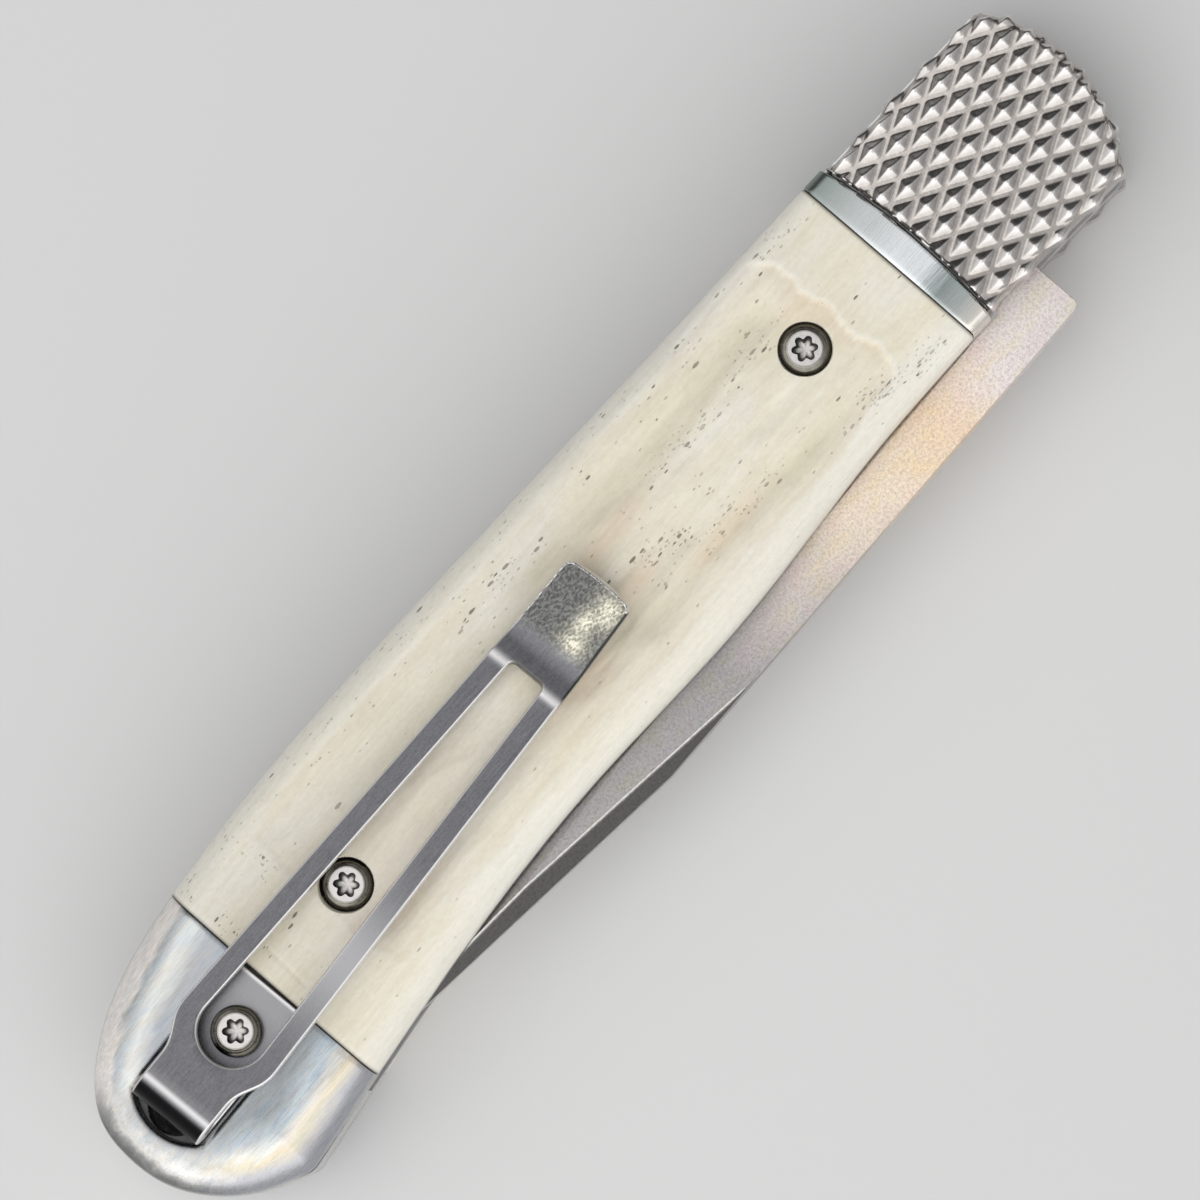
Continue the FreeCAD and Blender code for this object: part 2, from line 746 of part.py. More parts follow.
def build():
    shell = half_shell(edge_radius)
    side_scale = scale(shell)
    side_front = front_bolster(half_shell(knurl_edge_radius))
    side_liner = liner()
    mark_rear = rear_bolster(shell)
    clip_shank_hole = disc(clip_origin.x, clip_origin.y, shank_radius + pin_fit, 0, top)
    front_pins = Part.makeCompound(bolster_pin_set([from_front(p) for p in front_pins_from_front], 0))
    rear_pins = Part.makeCompound(bolster_pin_set([from_rear(p) for p in rear_pins_from_rear], 0))
    seat_z = top - head_recess - head_height
    front_screw = screw(from_front(front_screw_from_front), seat_z, slot_half + shank_back_off)
    rear_screw = screw(from_rear(rear_screw_from_rear), seat_z, slot_half + shank_back_off)
    clip_seat_z = pocket_floor + clip_sheet
    return {
        "blade": blade(),
        "pivot_pin": pivot_pin(),
        "clip_side_washer": washer(),
        "mark_side_washer": mirrored(washer()),
        "clip_side_liner": side_liner.cut(clip_shank_hole),
        "mark_side_liner": mirrored(side_liner),
        "clip_side_scale": side_scale,
        "mark_side_scale": mirrored(side_scale),
        "clip_side_front_bolster": side_front,
        "mark_side_front_bolster": mirrored(side_front),
        "clip_side_rear_bolster": clip_side_rear_bolster(shell),
        "mark_side_rear_bolster": mirrored(mark_rear),
        "clip_side_front_bolster_pins": front_pins,
        "mark_side_front_bolster_pins": mirrored(front_pins),
        "clip_side_rear_bolster_pins": rear_pins,
        "mark_side_rear_bolster_pins": mirrored(rear_pins),
        "backspring": backspring(),
        "spring_center_pin": spring_pin(center_pin_spot()),
        "spring_rear_pin": spring_pin(from_rear(rear_pin_from_rear)),
        "clip_side_front_screw": front_screw,
        "clip_side_rear_screw": rear_screw,
        "mark_side_front_screw": mirrored(front_screw),
        "mark_side_rear_screw": mirrored(rear_screw),
        "clip_screw": screw(clip_origin, clip_seat_z, slot_half - clip_shank_in_block),
        "pocket_clip_base": clip_base(),
        "pocket_clip_arm": clip_arm(),
    }


# The origin goes below the middle of the closed knife, on the plane that it lies on
to_frame = V(0, -(back_apex_y + spine_y) / 2, top)

for name, shape in build().items():
    shape.translate(to_frame)
    shape.exportStep("parts/" + name + ".step")
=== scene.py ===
from math import acos, asin, atan, atan2, cos, degrees, hypot, pi, radians, sin, sqrt, tan
import bmesh
import bpy
import numpy as np
from mathutils import Matrix, Vector
from mathutils.geometry import delaunay_2d_cdt


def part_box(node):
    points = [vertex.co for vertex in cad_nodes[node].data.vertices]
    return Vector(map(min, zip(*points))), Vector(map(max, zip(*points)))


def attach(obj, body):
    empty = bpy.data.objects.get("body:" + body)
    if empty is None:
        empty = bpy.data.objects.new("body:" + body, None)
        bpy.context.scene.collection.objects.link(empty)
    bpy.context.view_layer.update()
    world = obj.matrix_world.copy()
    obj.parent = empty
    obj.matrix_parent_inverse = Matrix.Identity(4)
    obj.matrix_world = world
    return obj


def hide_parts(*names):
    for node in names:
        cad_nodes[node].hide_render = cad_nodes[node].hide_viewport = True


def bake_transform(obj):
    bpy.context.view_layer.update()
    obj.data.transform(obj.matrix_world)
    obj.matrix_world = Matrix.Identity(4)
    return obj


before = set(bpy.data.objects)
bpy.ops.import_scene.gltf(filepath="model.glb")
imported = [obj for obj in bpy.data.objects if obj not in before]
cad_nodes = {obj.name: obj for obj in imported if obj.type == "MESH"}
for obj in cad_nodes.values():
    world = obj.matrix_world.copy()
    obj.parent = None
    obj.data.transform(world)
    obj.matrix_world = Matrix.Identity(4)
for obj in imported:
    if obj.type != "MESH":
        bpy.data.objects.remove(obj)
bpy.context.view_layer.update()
scene = bpy.context.scene

# Levels and places in millimetres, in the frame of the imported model
MM = 0.001
LINER_TOP = 8.84
LAND_Z = 12.44
LAND_HALF = 3.0
MID_Z = LAND_Z / 2
CROWN_Y = 1.105
CROWN_R = 45.0
CROWN_APEX = LAND_Z + CROWN_R - sqrt(CROWN_R ** 2 - LAND_HALF ** 2)
CROWN_BLEND = 0.03
EDGE_R = 2.4
FRONT_JOINT_X = 32.3
REAR_JOINT_X = -36.1
JOINT_GAP = 0.03
JOINT_EASE = 0.10
BONE_X = (REAR_JOINT_X + JOINT_GAP, FRONT_JOINT_X - JOINT_GAP)
SCREW_PLACES = ((23.6, 1.405), (-27.1, 1.105))
SHANK_HOLE_R = 1.06
LANYARD = (-47.197, -0.091)
LANYARD_R = 2.1
BAND_WIDTH = 2.4
BAND_R = 60.0
BAND_CENTER_X = FRONT_JOINT_X + BAND_WIDTH - BAND_R
CLIP_AT = (-40.2, 0.105)
CLIP_TURN = radians(1.6)
CLIP_COS, CLIP_SIN = cos(CLIP_TURN), sin(CLIP_TURN)


# Shaping functions
def step(low, high, value):
    t = np.clip((value - low) / (high - low), 0, 1)
    return t * t * (3 - 2 * t)


def plateau(rise, fall, value):
    return step(*rise, value) * (1 - step(*fall, value))


def bell(offset, width, power=2):
    return np.exp(-(offset / width) ** power)


def blot(x, y, at_x, at_y, long, wide):
    # Soft patch that fades over its half length and half width
    return np.exp(-((x - at_x) / long) ** 2 - ((y - at_y) / wide) ** 2)


def soft_min(a, b, width):
    gap = np.abs(a - b)
    return np.minimum(a, b) - np.maximum(width - gap, 0) ** 2 / (4 * width)


def noise(x, y, seed, size=64):
    # Smooth noise from 0 to 1, the same each run
    table = np.random.RandomState(seed).rand(size, size)
    xi, yi = np.floor(x).astype(int), np.floor(y).astype(int)
    fx, fy = (t * t * t * (t * (t * 6 - 15) + 10) for t in (x - xi, y - yi))
    x0, x1, y0, y1 = xi % size, (xi + 1) % size, yi % size, (yi + 1) % size
    near = table[x0, y0] * (1 - fx) + table[x1, y0] * fx
    far = table[x0, y1] * (1 - fx) + table[x1, y1] * fx
    return near * (1 - fy) + far * fy


def layered(x, y, seed, layers):
    total = sum(noise(x * 2 ** k, y * 2 ** k, seed + k) / 2 ** k for k in range(layers))
    return total / sum(1 / 2 ** k for k in range(layers))


def waver(place, row, seed, layers, size):
    # How far a line wanders to either side
    return (layered(place, place * 0 + row, seed, layers) - 0.5) * size


def crown(y):
    # The crowned outer face with its flat land, blended so that no crease shows
    arc = CROWN_APEX - CROWN_R + np.sqrt(CROWN_R ** 2 - (y - CROWN_Y) ** 2)
    return soft_min(arc, LAND_Z, CROWN_BLEND)


def crown_slope(y):
    return -(y - CROWN_Y) / np.sqrt(CROWN_R ** 2 - (y - CROWN_Y) ** 2)


# Outline of the handle in plan, read from the upper liner's flat face
BORDER_STEP = 0.08
BORDER_SOFTNESS = 2.5
FLAT_WITHIN = 0.001


def rim_of(faces):
    # For each point on the rim of a patch of faces, the next one
    edges = {}
    for face in faces:
        for a, b in zip(face, face[1:] + face[:1]):
            if (b, a) in edges:
                del edges[(b, a)]
            else:
                edges[(a, b)] = True
    return dict(edges.keys())


def border_of(node):
    mesh = cad_nodes[node].data
    co = np.array([v.co for v in mesh.vertices]) / MM
    level = co[:, 2].max() - FLAT_WITHIN
    flat = [face for face in (list(p.vertices) for p in mesh.polygons) if co[face, 2].min() >= level]
    after = rim_of([[tuple(np.round(co[i, :2], 3)) for i in face] for face in flat])
    loops = []
    while after:
        start, point = after.popitem()
        loop = [start]
        while point != start and point in after:
            loop.append(point)
            point = after.pop(point)
        loops.append(loop)
    return np.array(max(loops, key=lambda loop: np.ptp([x for x, y in loop])))


def lengths(points):
    return np.concatenate([[0], np.cumsum(np.hypot(*np.diff(points, axis=0).T))])


def points_along(points, at):
    # Points at these lengths along a line
    return np.column_stack([np.interp(at, lengths(points), points[:, k]) for k in (0, 1)])


def resampled(points, spacing):
    # Even steps round a closed line
    points = np.vstack([points, points[:1]])
    total = lengths(points)[-1]
    return points_along(points, np.linspace(0, total, int(total / spacing), endpoint=False))


def softened(points, sigma):
    # Gaussian smoothing of a closed line, to take the facets out of it
    reach = int(3 * sigma)
    offsets = np.arange(-reach, reach + 1)
    weights = np.exp(-0.5 * (offsets / sigma) ** 2)
    weights /= weights.sum()
    return sum(w * np.roll(points, -o, axis=0) for w, o in zip(weights, offsets))


border = softened(resampled(border_of("clip_side_liner"), BORDER_STEP), BORDER_SOFTNESS)
ahead = np.roll(border, -1, axis=0)
if np.sum(border[:, 0] * ahead[:, 1] - ahead[:, 0] * border[:, 1]) < 0:
    border = border[::-1]
border = np.roll(border, -int(border[:, 0].argmax()), axis=0)
border_way = np.roll(border, -1, axis=0) - np.roll(border, 1, axis=0)
border_way /= np.hypot(border_way[:, 0], border_way[:, 1])[:, None]
border_in = np.column_stack([-border_way[:, 1], border_way[:, 0]])


def edge_y(x, upper):
    # Y of the outline above or below at each x, and its slope
    onward = np.roll(border, -1, axis=0)[:, 0] - border[:, 0]
    part = border[onward < 0] if upper else border[onward > 0]
    part = part[np.argsort(part[:, 0])]
    y, behind, beyond = (np.interp(x + shift, part[:, 0], part[:, 1]) for shift in (0, -0.5, 0.5))
    return y, beyond - behind


def nearest_border(points, block=4000, reach=6):
    # Distance to the outline, the nearest place on it and the way in from there
    near = (border[:, 0] > points[:, 0].min() - reach) & (border[:, 0] < points[:, 0].max() + reach)
    part = border[near]
    best = np.concatenate([((points[k:k + block, None] - part) ** 2).sum(axis=2).argmin(axis=1)
                           for k in range(0, len(points), block)])
    inward = border_in[near][best]
    away = np.abs(((points - part[best]) * inward).sum(axis=1))
    return away, part[best], inward


# Mesh building
def linked(name, data):
    obj = bpy.data.objects.new(name, data)
    scene.collection.objects.link(obj)
    return obj


def set_layers(mesh, layers):
    for key, values in layers.items():
        layer = mesh.attributes.new(key, "FLOAT", "POINT")
        layer.data.foreach_set("value", np.asarray(values, np.float32))


def coat(mesh, material):
    mesh.materials.clear()
    mesh.materials.append(material)


def make(name, verts, faces, material, layers=None):
    mesh = bpy.data.meshes.new(name)
    mesh.from_pydata([tuple(v) for v in np.asarray(verts) * MM], [], faces)
    set_layers(mesh, layers or {})
    mesh.validate()
    coat(mesh, material)
    return linked(name, mesh)


def grid_faces(rows, cols):
    starts = (a for i in range(rows - 1) for a in range(i * cols, i * cols + cols - 1))
    return [(a, a + cols, a + cols + 1, a + 1) for a in starts]


def smooth(obj, angle):
    obj.data.shade_smooth()
    obj.data.set_sharp_from_angle(angle=radians(angle))
    return obj


def outward(obj):
    bm = bmesh.new()
    bm.from_mesh(obj.data)
    bmesh.ops.remove_doubles(bm, verts=bm.verts, dist=1e-7)
    bmesh.ops.recalc_face_normals(bm, faces=bm.faces)
    bm.to_mesh(obj.data)
    bm.free()
    return obj


def bisect(bm, place, normal, within, geom=None):
    geom = geom or bm.verts[:] + bm.edges[:] + bm.faces[:]
    bmesh.ops.bisect_plane(bm, geom=geom, plane_co=place, plane_no=normal, dist=within)


def evaluated_mesh(obj):
    bpy.context.view_layer.update()
    return bpy.data.meshes.new_from_object(obj.evaluated_get(bpy.context.evaluated_depsgraph_get()))


def cut_by(obj, cutters):
    for cutter in cutters:
        modifier = obj.modifiers.new("cut", "BOOLEAN")
        modifier.operation = "DIFFERENCE"
        modifier.solver = "EXACT"
        modifier.object = cutter
    made = evaluated_mesh(obj)
    obj.modifiers.clear()
    old = obj.data
    obj.data = made
    bpy.data.meshes.remove(old)
    for cutter in cutters:
        bpy.data.objects.remove(cutter)
    return obj


def cutter_of(rings):
    # Solid between rings of equally many points, closed by the first and the last ring
    count = len(rings[0])
    verts = [point for ring in rings for point in ring]
    faces = [(a + k, a + (k + 1) % count, a + (k + 1) % count + count, a + k + count)
             for a in range(0, len(verts) - count, count) for k in range(count)]
    faces += [tuple(range(count))[::-1], tuple(range(len(verts) - count, len(verts)))]
    return outward(make("cutter", verts, faces, bone))


def lathe_cutter(x, y, profile, count=72):
    turns = [2 * pi * k / count for k in range(count)]
    return cutter_of([[(x + r * cos(t), y + r * sin(t), z) for t in turns] for r, z in profile])


def prism_cutter(points, low, high):
    return cutter_of([[(x, y, z) for x, y in points] for z in (low, high)])


def on_side(obj, lower, level=MID_Z):
    # The mark side is the mirror image, in the handle's middle plane or at a level of the piece's own
    if lower:
        obj.data.transform(Matrix.Translation((0, 0, 2 * level * MM)) @ Matrix.Diagonal((1, 1, -1, 1)))
        obj.data.flip_normals()
    return obj


def stand_in(piece, node):
    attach(piece, "handle")
    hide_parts(node)
    return piece


# Materials
class Shading:
    # Short calls that add nodes to a tree and give the socket that carries the result
    def __init__(self, tree):
        self.tree = tree

    def feed(self, socket, value):
        if isinstance(value, bpy.types.NodeSocket):
            self.tree.links.new(value, socket)
        else:
            socket.default_value = value

    def add(self, kind, values=None, **settings):
        node = self.tree.nodes.new("ShaderNode" + kind)
        for key, value in settings.items():
            setattr(node, key, value)
        for socket, value in (values or {}).items():
            self.feed(node.inputs[socket], value)
        return node

    def maths(self, operation, a, b=0.0):
        return self.add("Math", {0: a, 1: b}, operation=operation).outputs[0]

    def plus(self, a, b):
        return self.maths("ADD", a, b)

    def minus(self, a, b):
        return self.maths("SUBTRACT", a, b)

    def times(self, a, b):
        return self.maths("MULTIPLY", a, b)

    def hypot(self, a, b):
        return self.maths("SQRT", self.plus(self.times(a, a), self.times(b, b)))

    def parts(self, vector):
        return self.add("SeparateXYZ", {0: vector}).outputs

    def place(self, scale=(1.0, 1.0, 1.0), turn=0.0):
        # Object coordinates in millimetres, squeezed by scale along each axis
        place = self.add("TexCoord").outputs["Object"]
        values = {0: place, "Scale": [s / MM for s in scale], "Rotation": (0, 0, turn)}
        return self.add("Mapping", values).outputs[0]

    def grain(self, scale, detail=3.0, rough=0.6, turn=0.0):
        values = {"Vector": self.place(scale, turn), "Scale": 1.0, "Detail": detail, "Roughness": rough}
        return self.add("TexNoise", values).outputs[0]

    def attribute(self, name):
        return self.add("Attribute", attribute_name=name).outputs["Fac"]

    def ramp(self, factor, *stops):
        # Stops are a place and a colour, or a number for a grey
        node = self.add("ValToRGB", {0: factor})
        band = node.color_ramp
        while len(band.elements) < len(stops):
            band.elements.new(0.5)
        for element, (place, colour) in zip(band.elements, stops):
            element.position = place
            element.color = (*colour, 1) if isinstance(colour, tuple) else (colour, colour, colour, 1)
        return node.outputs[0]

    def spread(self, factor, low, high, to_low=0.0, to_high=1.0):
        return self.add("MapRange", {0: factor, 1: low, 2: high, 3: to_low, 4: to_high}).outputs[0]

    def vary(self, grain, to_low, to_high):
        # Noise lies mostly between 0.3 and 0.7
        return self.spread(grain, 0.3, 0.7, to_low, to_high)

    def mixed(self, factor, a, b, blend="MIX"):
        a, b = (c if isinstance(c, bpy.types.NodeSocket) else (*c, 1) for c in (a, b))
        return self.add("Mix", {0: factor, 6: a, 7: b}, data_type="RGBA", blend_type=blend).outputs[2]

    def blend(self, factor, a, b):
        return self.add("Mix", {0: factor, 2: a, 3: b}, data_type="FLOAT").outputs[0]

    def bumps(self, *layers, normal=None):
        # Bumps of a height and a depth in millimetres, one over the other
        for height, depth in layers:
            values = {"Height": height, "Strength": 1.0, "Distance": depth * MM}
            if normal is not None:
                values["Normal"] = normal
            normal = self.add("Bump", values).outputs[0]
        return normal

    def eased(self, radius):
        return self.add("Bevel", {"Radius": radius * MM}, samples=6).outputs[0]


class Surface(Shading):
    # A material on its own Principled shader
    def __init__(self, name, metallic=1.0):
        self.made = bpy.data.materials.new(name)
        self.made.use_nodes = True
        super().__init__(self.made.node_tree)
        self.shader = next(n for n in self.tree.nodes if n.type == "BSDF_PRINCIPLED")
        self.shader.inputs["Metallic"].default_value = metallic

    def finished(self, colour, roughness, normal=None, **more):
        values = {"Base Color": colour, "Roughness": roughness, "Normal": normal}
        values.update((key.replace("_", " "), value) for key, value in more.items())
        for socket, value in values.items():
            if value is not None:
                self.feed(self.shader.inputs[socket], value)
        return self.made


def metal(name, dark, light, lines, roughness, line_depth=0.004, edge=0.0, speck=0.0):
    # Worked metal: fine lines along one way, tone and gloss that drift, and small specks
    m = Surface(name)
    fine = m.grain(lines, 4.0, 0.65)
    drift = m.grain((0.12, 0.2, 0.2), 3.0, 0.55)
    tone = m.plus(m.times(fine, 0.55), m.times(drift, 0.45))
    gloss = m.plus(m.times(fine, 0.5), m.times(drift, 0.5))
    normal = m.bumps((fine, line_depth), normal=m.eased(edge) if edge else None)
    if speck:
        normal = m.bumps((m.grain((7.0, 7.0, 7.0), 2.0, 0.5), speck), normal=normal)
    colour = m.ramp(tone, (0.34, dark), (0.66, light))
    return m.finished(colour, m.vary(gloss, *roughness), normal)


def pores(m, scale, density, ragged, sizes):
    # A few cells of a stretched cell pattern, more of them where the density is high
    cells = m.add("TexVoronoi", {"Vector": m.place(scale), "Scale": 1.0, "Randomness": 1.0})
    pick = m.add("SeparateColor", {0: cells.outputs["Color"]}).outputs
    chosen = m.maths("GREATER_THAN", density, pick[0])
    size = m.spread(pick[1], 0.0, 1.0, *sizes)
    edge = m.plus(cells.outputs["Distance"], ragged)
    inside = m.spread(m.minus(size, edge), -0.03, 0.07)
    return m.times(chosen, inside), pick[2]


def bone_material():
    m = Surface("natural_bone", 0.0)
    broad = m.grain((0.07, 0.24, 0.24), 4.0)
    streak = m.grain((0.22, 2.6, 2.6), 5.0, 0.62)
    fibre = m.grain((1.3, 13.0, 13.0))
    mottle = m.grain((2.2, 3.0, 3.0), 4.0, 0.65)
    colour = m.ramp(broad, (0.32, (0.84, 0.785, 0.62)), (0.50, (0.89, 0.845, 0.71)), (0.68, (0.91, 0.88, 0.79)))
    # pale also carries painted light under the clip and a painted highlight along the ledge; stain also carries
    # painted shade at the ledge's foot
    for key, strength, tint in (("depth", 0.52, (0.72, 0.665, 0.475)), ("stain", 0.60, (0.80, 0.655, 0.49)),
                                ("pale", 0.75, (0.90, 0.88, 0.81))):
        colour = m.mixed(m.times(m.attribute(key), strength), colour, tint)
    for layer, strength, shade in ((streak, 0.36, (0.84, 0.825, 0.785)), (fibre, 0.30, (0.86, 0.85, 0.82)),
                                   (mottle, 0.36, (0.86, 0.84, 0.80))):
        colour = m.mixed(strength, colour, m.ramp(layer, (0.34, shade), (0.60, 1)), "MULTIPLY")
    pitted = m.attribute("pits")
    ragged = m.times(m.minus(fibre, 0.5), 0.35)
    large, large_shade = pores(m, (1.25, 3.6, 3.6), pitted, ragged, (0.06, 0.42))
    small, small_shade = pores(m, (2.6, 7.0, 7.0), m.times(pitted, 1.1), ragged, (0.10, 0.42))
    for inside, shade, range_of, tint in ((small, small_shade, (0.12, 0.60), (0.27, 0.235, 0.175)),
                                          (large, large_shade, (0.30, 0.92), (0.17, 0.145, 0.11))):
        colour = m.mixed(m.times(inside, m.spread(shade, 0.0, 1.0, *range_of)), colour, tint)
    colour = m.mixed(m.attribute("dirt"), colour, (0.055, 0.045, 0.035))
    pits = m.times(m.maths("MAXIMUM", large, m.times(small, 0.6)), -1.0)
    normal = m.bumps((fibre, 0.007), (streak, 0.022), (mottle, 0.014), (pits, 0.07))
    return m.finished(colour, m.vary(mottle, 0.34, 0.50), normal, Subsurface_Weight=0.10,
                      Subsurface_Radius=(1.0, 0.8, 0.5), Subsurface_Scale=0.6 * MM, Specular_IOR_Level=0.45)


def knurl_material():
    # Milled points and grooves, and the smooth band behind them with the dark line between; the light tops of the
    # points are a painted highlight, the dark groove floors and the dark line are painted shade, and the band's
    # tones are a painted reflection
    m = Surface("milled_steel")
    place = m.parts(m.place())
    center = m.hypot(m.minus(place[0], BAND_CENTER_X), m.minus(place[1], CROWN_Y))
    beyond = m.minus(center, BAND_R)
    band = m.spread(beyond, 0.0, 0.05, 1.0, 0.0)
    patch = m.grain((1.6, 1.6, 1.6))
    groove = m.attribute("groove")
    # Painted highlight on the tops of the points, painted shade on the groove floors and darker still on their
    # sloping sides
    lit_crest = m.ramp(patch, (0.3, (0.84, 0.81, 0.79)), (0.7, (0.98, 0.95, 0.93)))
    floor = m.ramp(patch, (0.3, (0.40, 0.37, 0.345)), (0.7, (0.54, 0.50, 0.465)))
    flank_shade = m.ramp(groove, (0.12, 0), (0.34, 1), (0.78, 1), (0.97, 0))
    colour = m.mixed(m.times(flank_shade, 0.20), m.mixed(groove, lit_crest, floor), (0.25, 0.245, 0.235))
    brush = m.grain((0.5, 9.0, 9.0), 4.0, turn=radians(6))
    plain = m.ramp(brush, (0.3, (0.62, 0.625, 0.63)), (0.7, (0.80, 0.805, 0.81)))
    drift = m.times(m.minus(brush, 0.5), 1.6)
    # Tones across the band, light and dark by turns, are a painted reflection
    across = m.spread(m.plus(place[1], drift), -8.2, 9.6)
    shade = m.ramp(across, (0.10, (1.0, 0.94, 0.85)), (0.18, (0.60, 0.64, 0.62)), (0.28, (0.34, 0.40, 0.38)),
                   (0.38, (0.94, 0.98, 1.0)), (0.52, (0.95, 0.98, 0.98)), (0.72, (0.60, 0.63, 0.62)),
                   (0.94, (0.25, 0.30, 0.27)))
    colour = m.mixed(band, colour, m.mixed(0.9, plain, shade, "MULTIPLY"))
    # Painted shade: near black in the ring groove between the band and the points
    line = m.ramp(m.spread(beyond, -0.1, 0.5), (0.15, 0), (0.24, 0.94), (0.52, 0.94), (0.68, 0))
    rough = m.blend(band, m.vary(patch, 0.09, 0.20), m.vary(brush, 0.20, 0.34))
    height = m.blend(band, m.grain((9.0, 9.0, 9.0)), brush)
    return m.finished(m.mixed(line, colour, (0.05, 0.05, 0.048)), rough, m.bumps((height, 0.010)))


def clip_material():
    m = Surface("dark_satin_steel")
    edge, tip, sheen, roll, wear_and_glint = (m.attribute(key) for key in ("edge", "tip", "sheen", "roll", "wear_and_glint"))
    speck = m.grain((6.0, 6.0, 6.0))
    lines = m.grain((0.7, 8.0, 8.0))
    tone = m.plus(m.times(speck, 0.5), m.times(lines, 0.5))
    face = m.ramp(tone, (0.35, (0.122, 0.122, 0.130)), (0.65, (0.20, 0.20, 0.212)))
    # Painted sheen on the right arm and on the foot, and painted highlights in spots on the tip
    face = m.mixed(m.times(sheen, 0.8), face, (0.46, 0.46, 0.47))
    # Painted shade: the bend's roll and the edges beside the tip and at the slot's end go near black
    face = m.mixed(roll, face, (0.012, 0.012, 0.013))
    pebble = m.grain((3.6, 5.4, 5.4), 1.0, 0.4, turn=0.5)
    dull = m.ramp(pebble, (0.36, (0.085, 0.085, 0.083)), (0.64, (0.17, 0.17, 0.163)))
    gold_highlight = m.ramp(pebble, (0.36, (0.36, 0.345, 0.275)), (0.64, (0.74, 0.71, 0.58)))
    colour = m.mixed(tip, face, m.mixed(sheen, dull, gold_highlight))
    # Pale edges, partly wear and partly painted highlight, and painted glint lines at the crease, the start of the
    # bend and the foot's end
    colour = m.mixed(m.times(m.maths("MAXIMUM", edge, wear_and_glint), 0.9), colour, (0.86, 0.84, 0.83))
    rough = m.plus(m.vary(tone, 0.26, 0.38), m.times(edge, 0.10))
    rough = m.minus(rough, m.times(tip, 0.16))
    return m.finished(colour, rough, m.bumps((m.times(pebble, tip), 0.11), (speck, 0.006)))


def screw_material():
    # Bright turned face with fine rings, and painted shade on the darker dome and the dark socket walls, with
    # painted light in the socket floor's middle
    m = Surface("turned_steel")
    place = m.parts(m.add("TexCoord").outputs["Object"])
    rings = m.maths("SINE", m.times(m.hypot(place[0], place[1]), 2 * pi * 9 / MM))
    patch = m.grain((2.0, 2.0, 2.0))
    body = m.ramp(patch, (0.3, (0.17, 0.158, 0.13)), (0.7, (0.25, 0.235, 0.20)))
    bright = m.ramp(patch, (0.3, (0.50, 0.48, 0.465)), (0.7, (0.66, 0.64, 0.625)))
    # The dome's darker colour and the socket floor's paler middle are painted shade and light
    colour = m.mixed(m.attribute("face"), body, bright)
    # Painted shade, near black, on the socket walls
    colour = m.mixed(m.attribute("socket"), colour, (0.05, 0.05, 0.048))
    return m.finished(colour, m.vary(patch, 0.22, 0.34), m.bumps((rings, 0.0005), (patch, 0.003)))


def blade_material():
    # Tumbled steel whose tone changes along the blade, with a painted warm reflection along its front part
    m = Surface("stonewashed_steel")
    speck = m.grain((4.2, 4.2, 4.2), 5.0, 0.75)
    fine = m.grain((10.0, 10.0, 10.0), 3.0, 0.7)
    scuff = m.grain((0.5, 6.0, 6.0), turn=0.25)
    drift = m.grain((0.10, 0.25, 0.25), 3.0, 0.5)
    wander = m.plus(m.parts(m.place())[0], m.times(m.minus(drift, 0.5), 14.0))
    # The warm, light stretch of this ramp is a painted reflection
    colour = m.ramp(m.spread(wander, -36.0, 42.0), (0.25, (0.46, 0.45, 0.45)), (0.50, (0.44, 0.43, 0.435)),
                    (0.60, (0.67, 0.62, 0.59)), (0.70, (0.98, 0.86, 0.71)), (0.80, (1.0, 0.81, 0.61)),
                    (0.89, (0.96, 0.89, 0.86)), (1.0, (0.78, 0.755, 0.73)))
    hue = m.grain((0.35, 0.8, 0.8), turn=0.3)
    hue = m.ramp(hue, (0.40, (1.0, 0.95, 0.97)), (0.50, 1), (0.60, (1.0, 0.97, 0.87)))
    colour = m.mixed(0.8, colour, hue, "MULTIPLY")
    # The swedge gets painted shade by its tilt and reads darker than the flats
    upright = m.maths("ABSOLUTE", m.parts(m.add("NewGeometry").outputs["True Normal"])[2])
    swedge = m.ramp(upright, (0.45, 0), (0.55, 1), (0.93, 1), (0.985, 0))
    colour = m.mixed(m.times(swedge, 0.95), colour, (0.085, 0.083, 0.08))
    # Painted highlight: a pale line along the edge between the flats and the swedge
    lift = m.minus(m.maths("ABSOLUTE", m.parts(m.eased(0.40))[2]), upright)
    glint = m.ramp(lift, (0.010, 0), (0.035, 1))
    colour = m.mixed(m.times(glint, 0.95), colour, (1.0, 0.98, 0.95))
    for layer, strength, low, high in ((speck, 0.70, 0.38, 0.56), (fine, 0.45, 0.36, 0.58)):
        dark = m.ramp(layer, (low, (0.62, 0.60, 0.585)), (high, 1))
        colour = m.mixed(strength, colour, dark, "MULTIPLY")
    normal = m.bumps((speck, 0.020), (scuff, 0.006), (fine, 0.006), normal=m.eased(0.10))
    return m.finished(colour, m.vary(speck, 0.32, 0.50), normal)


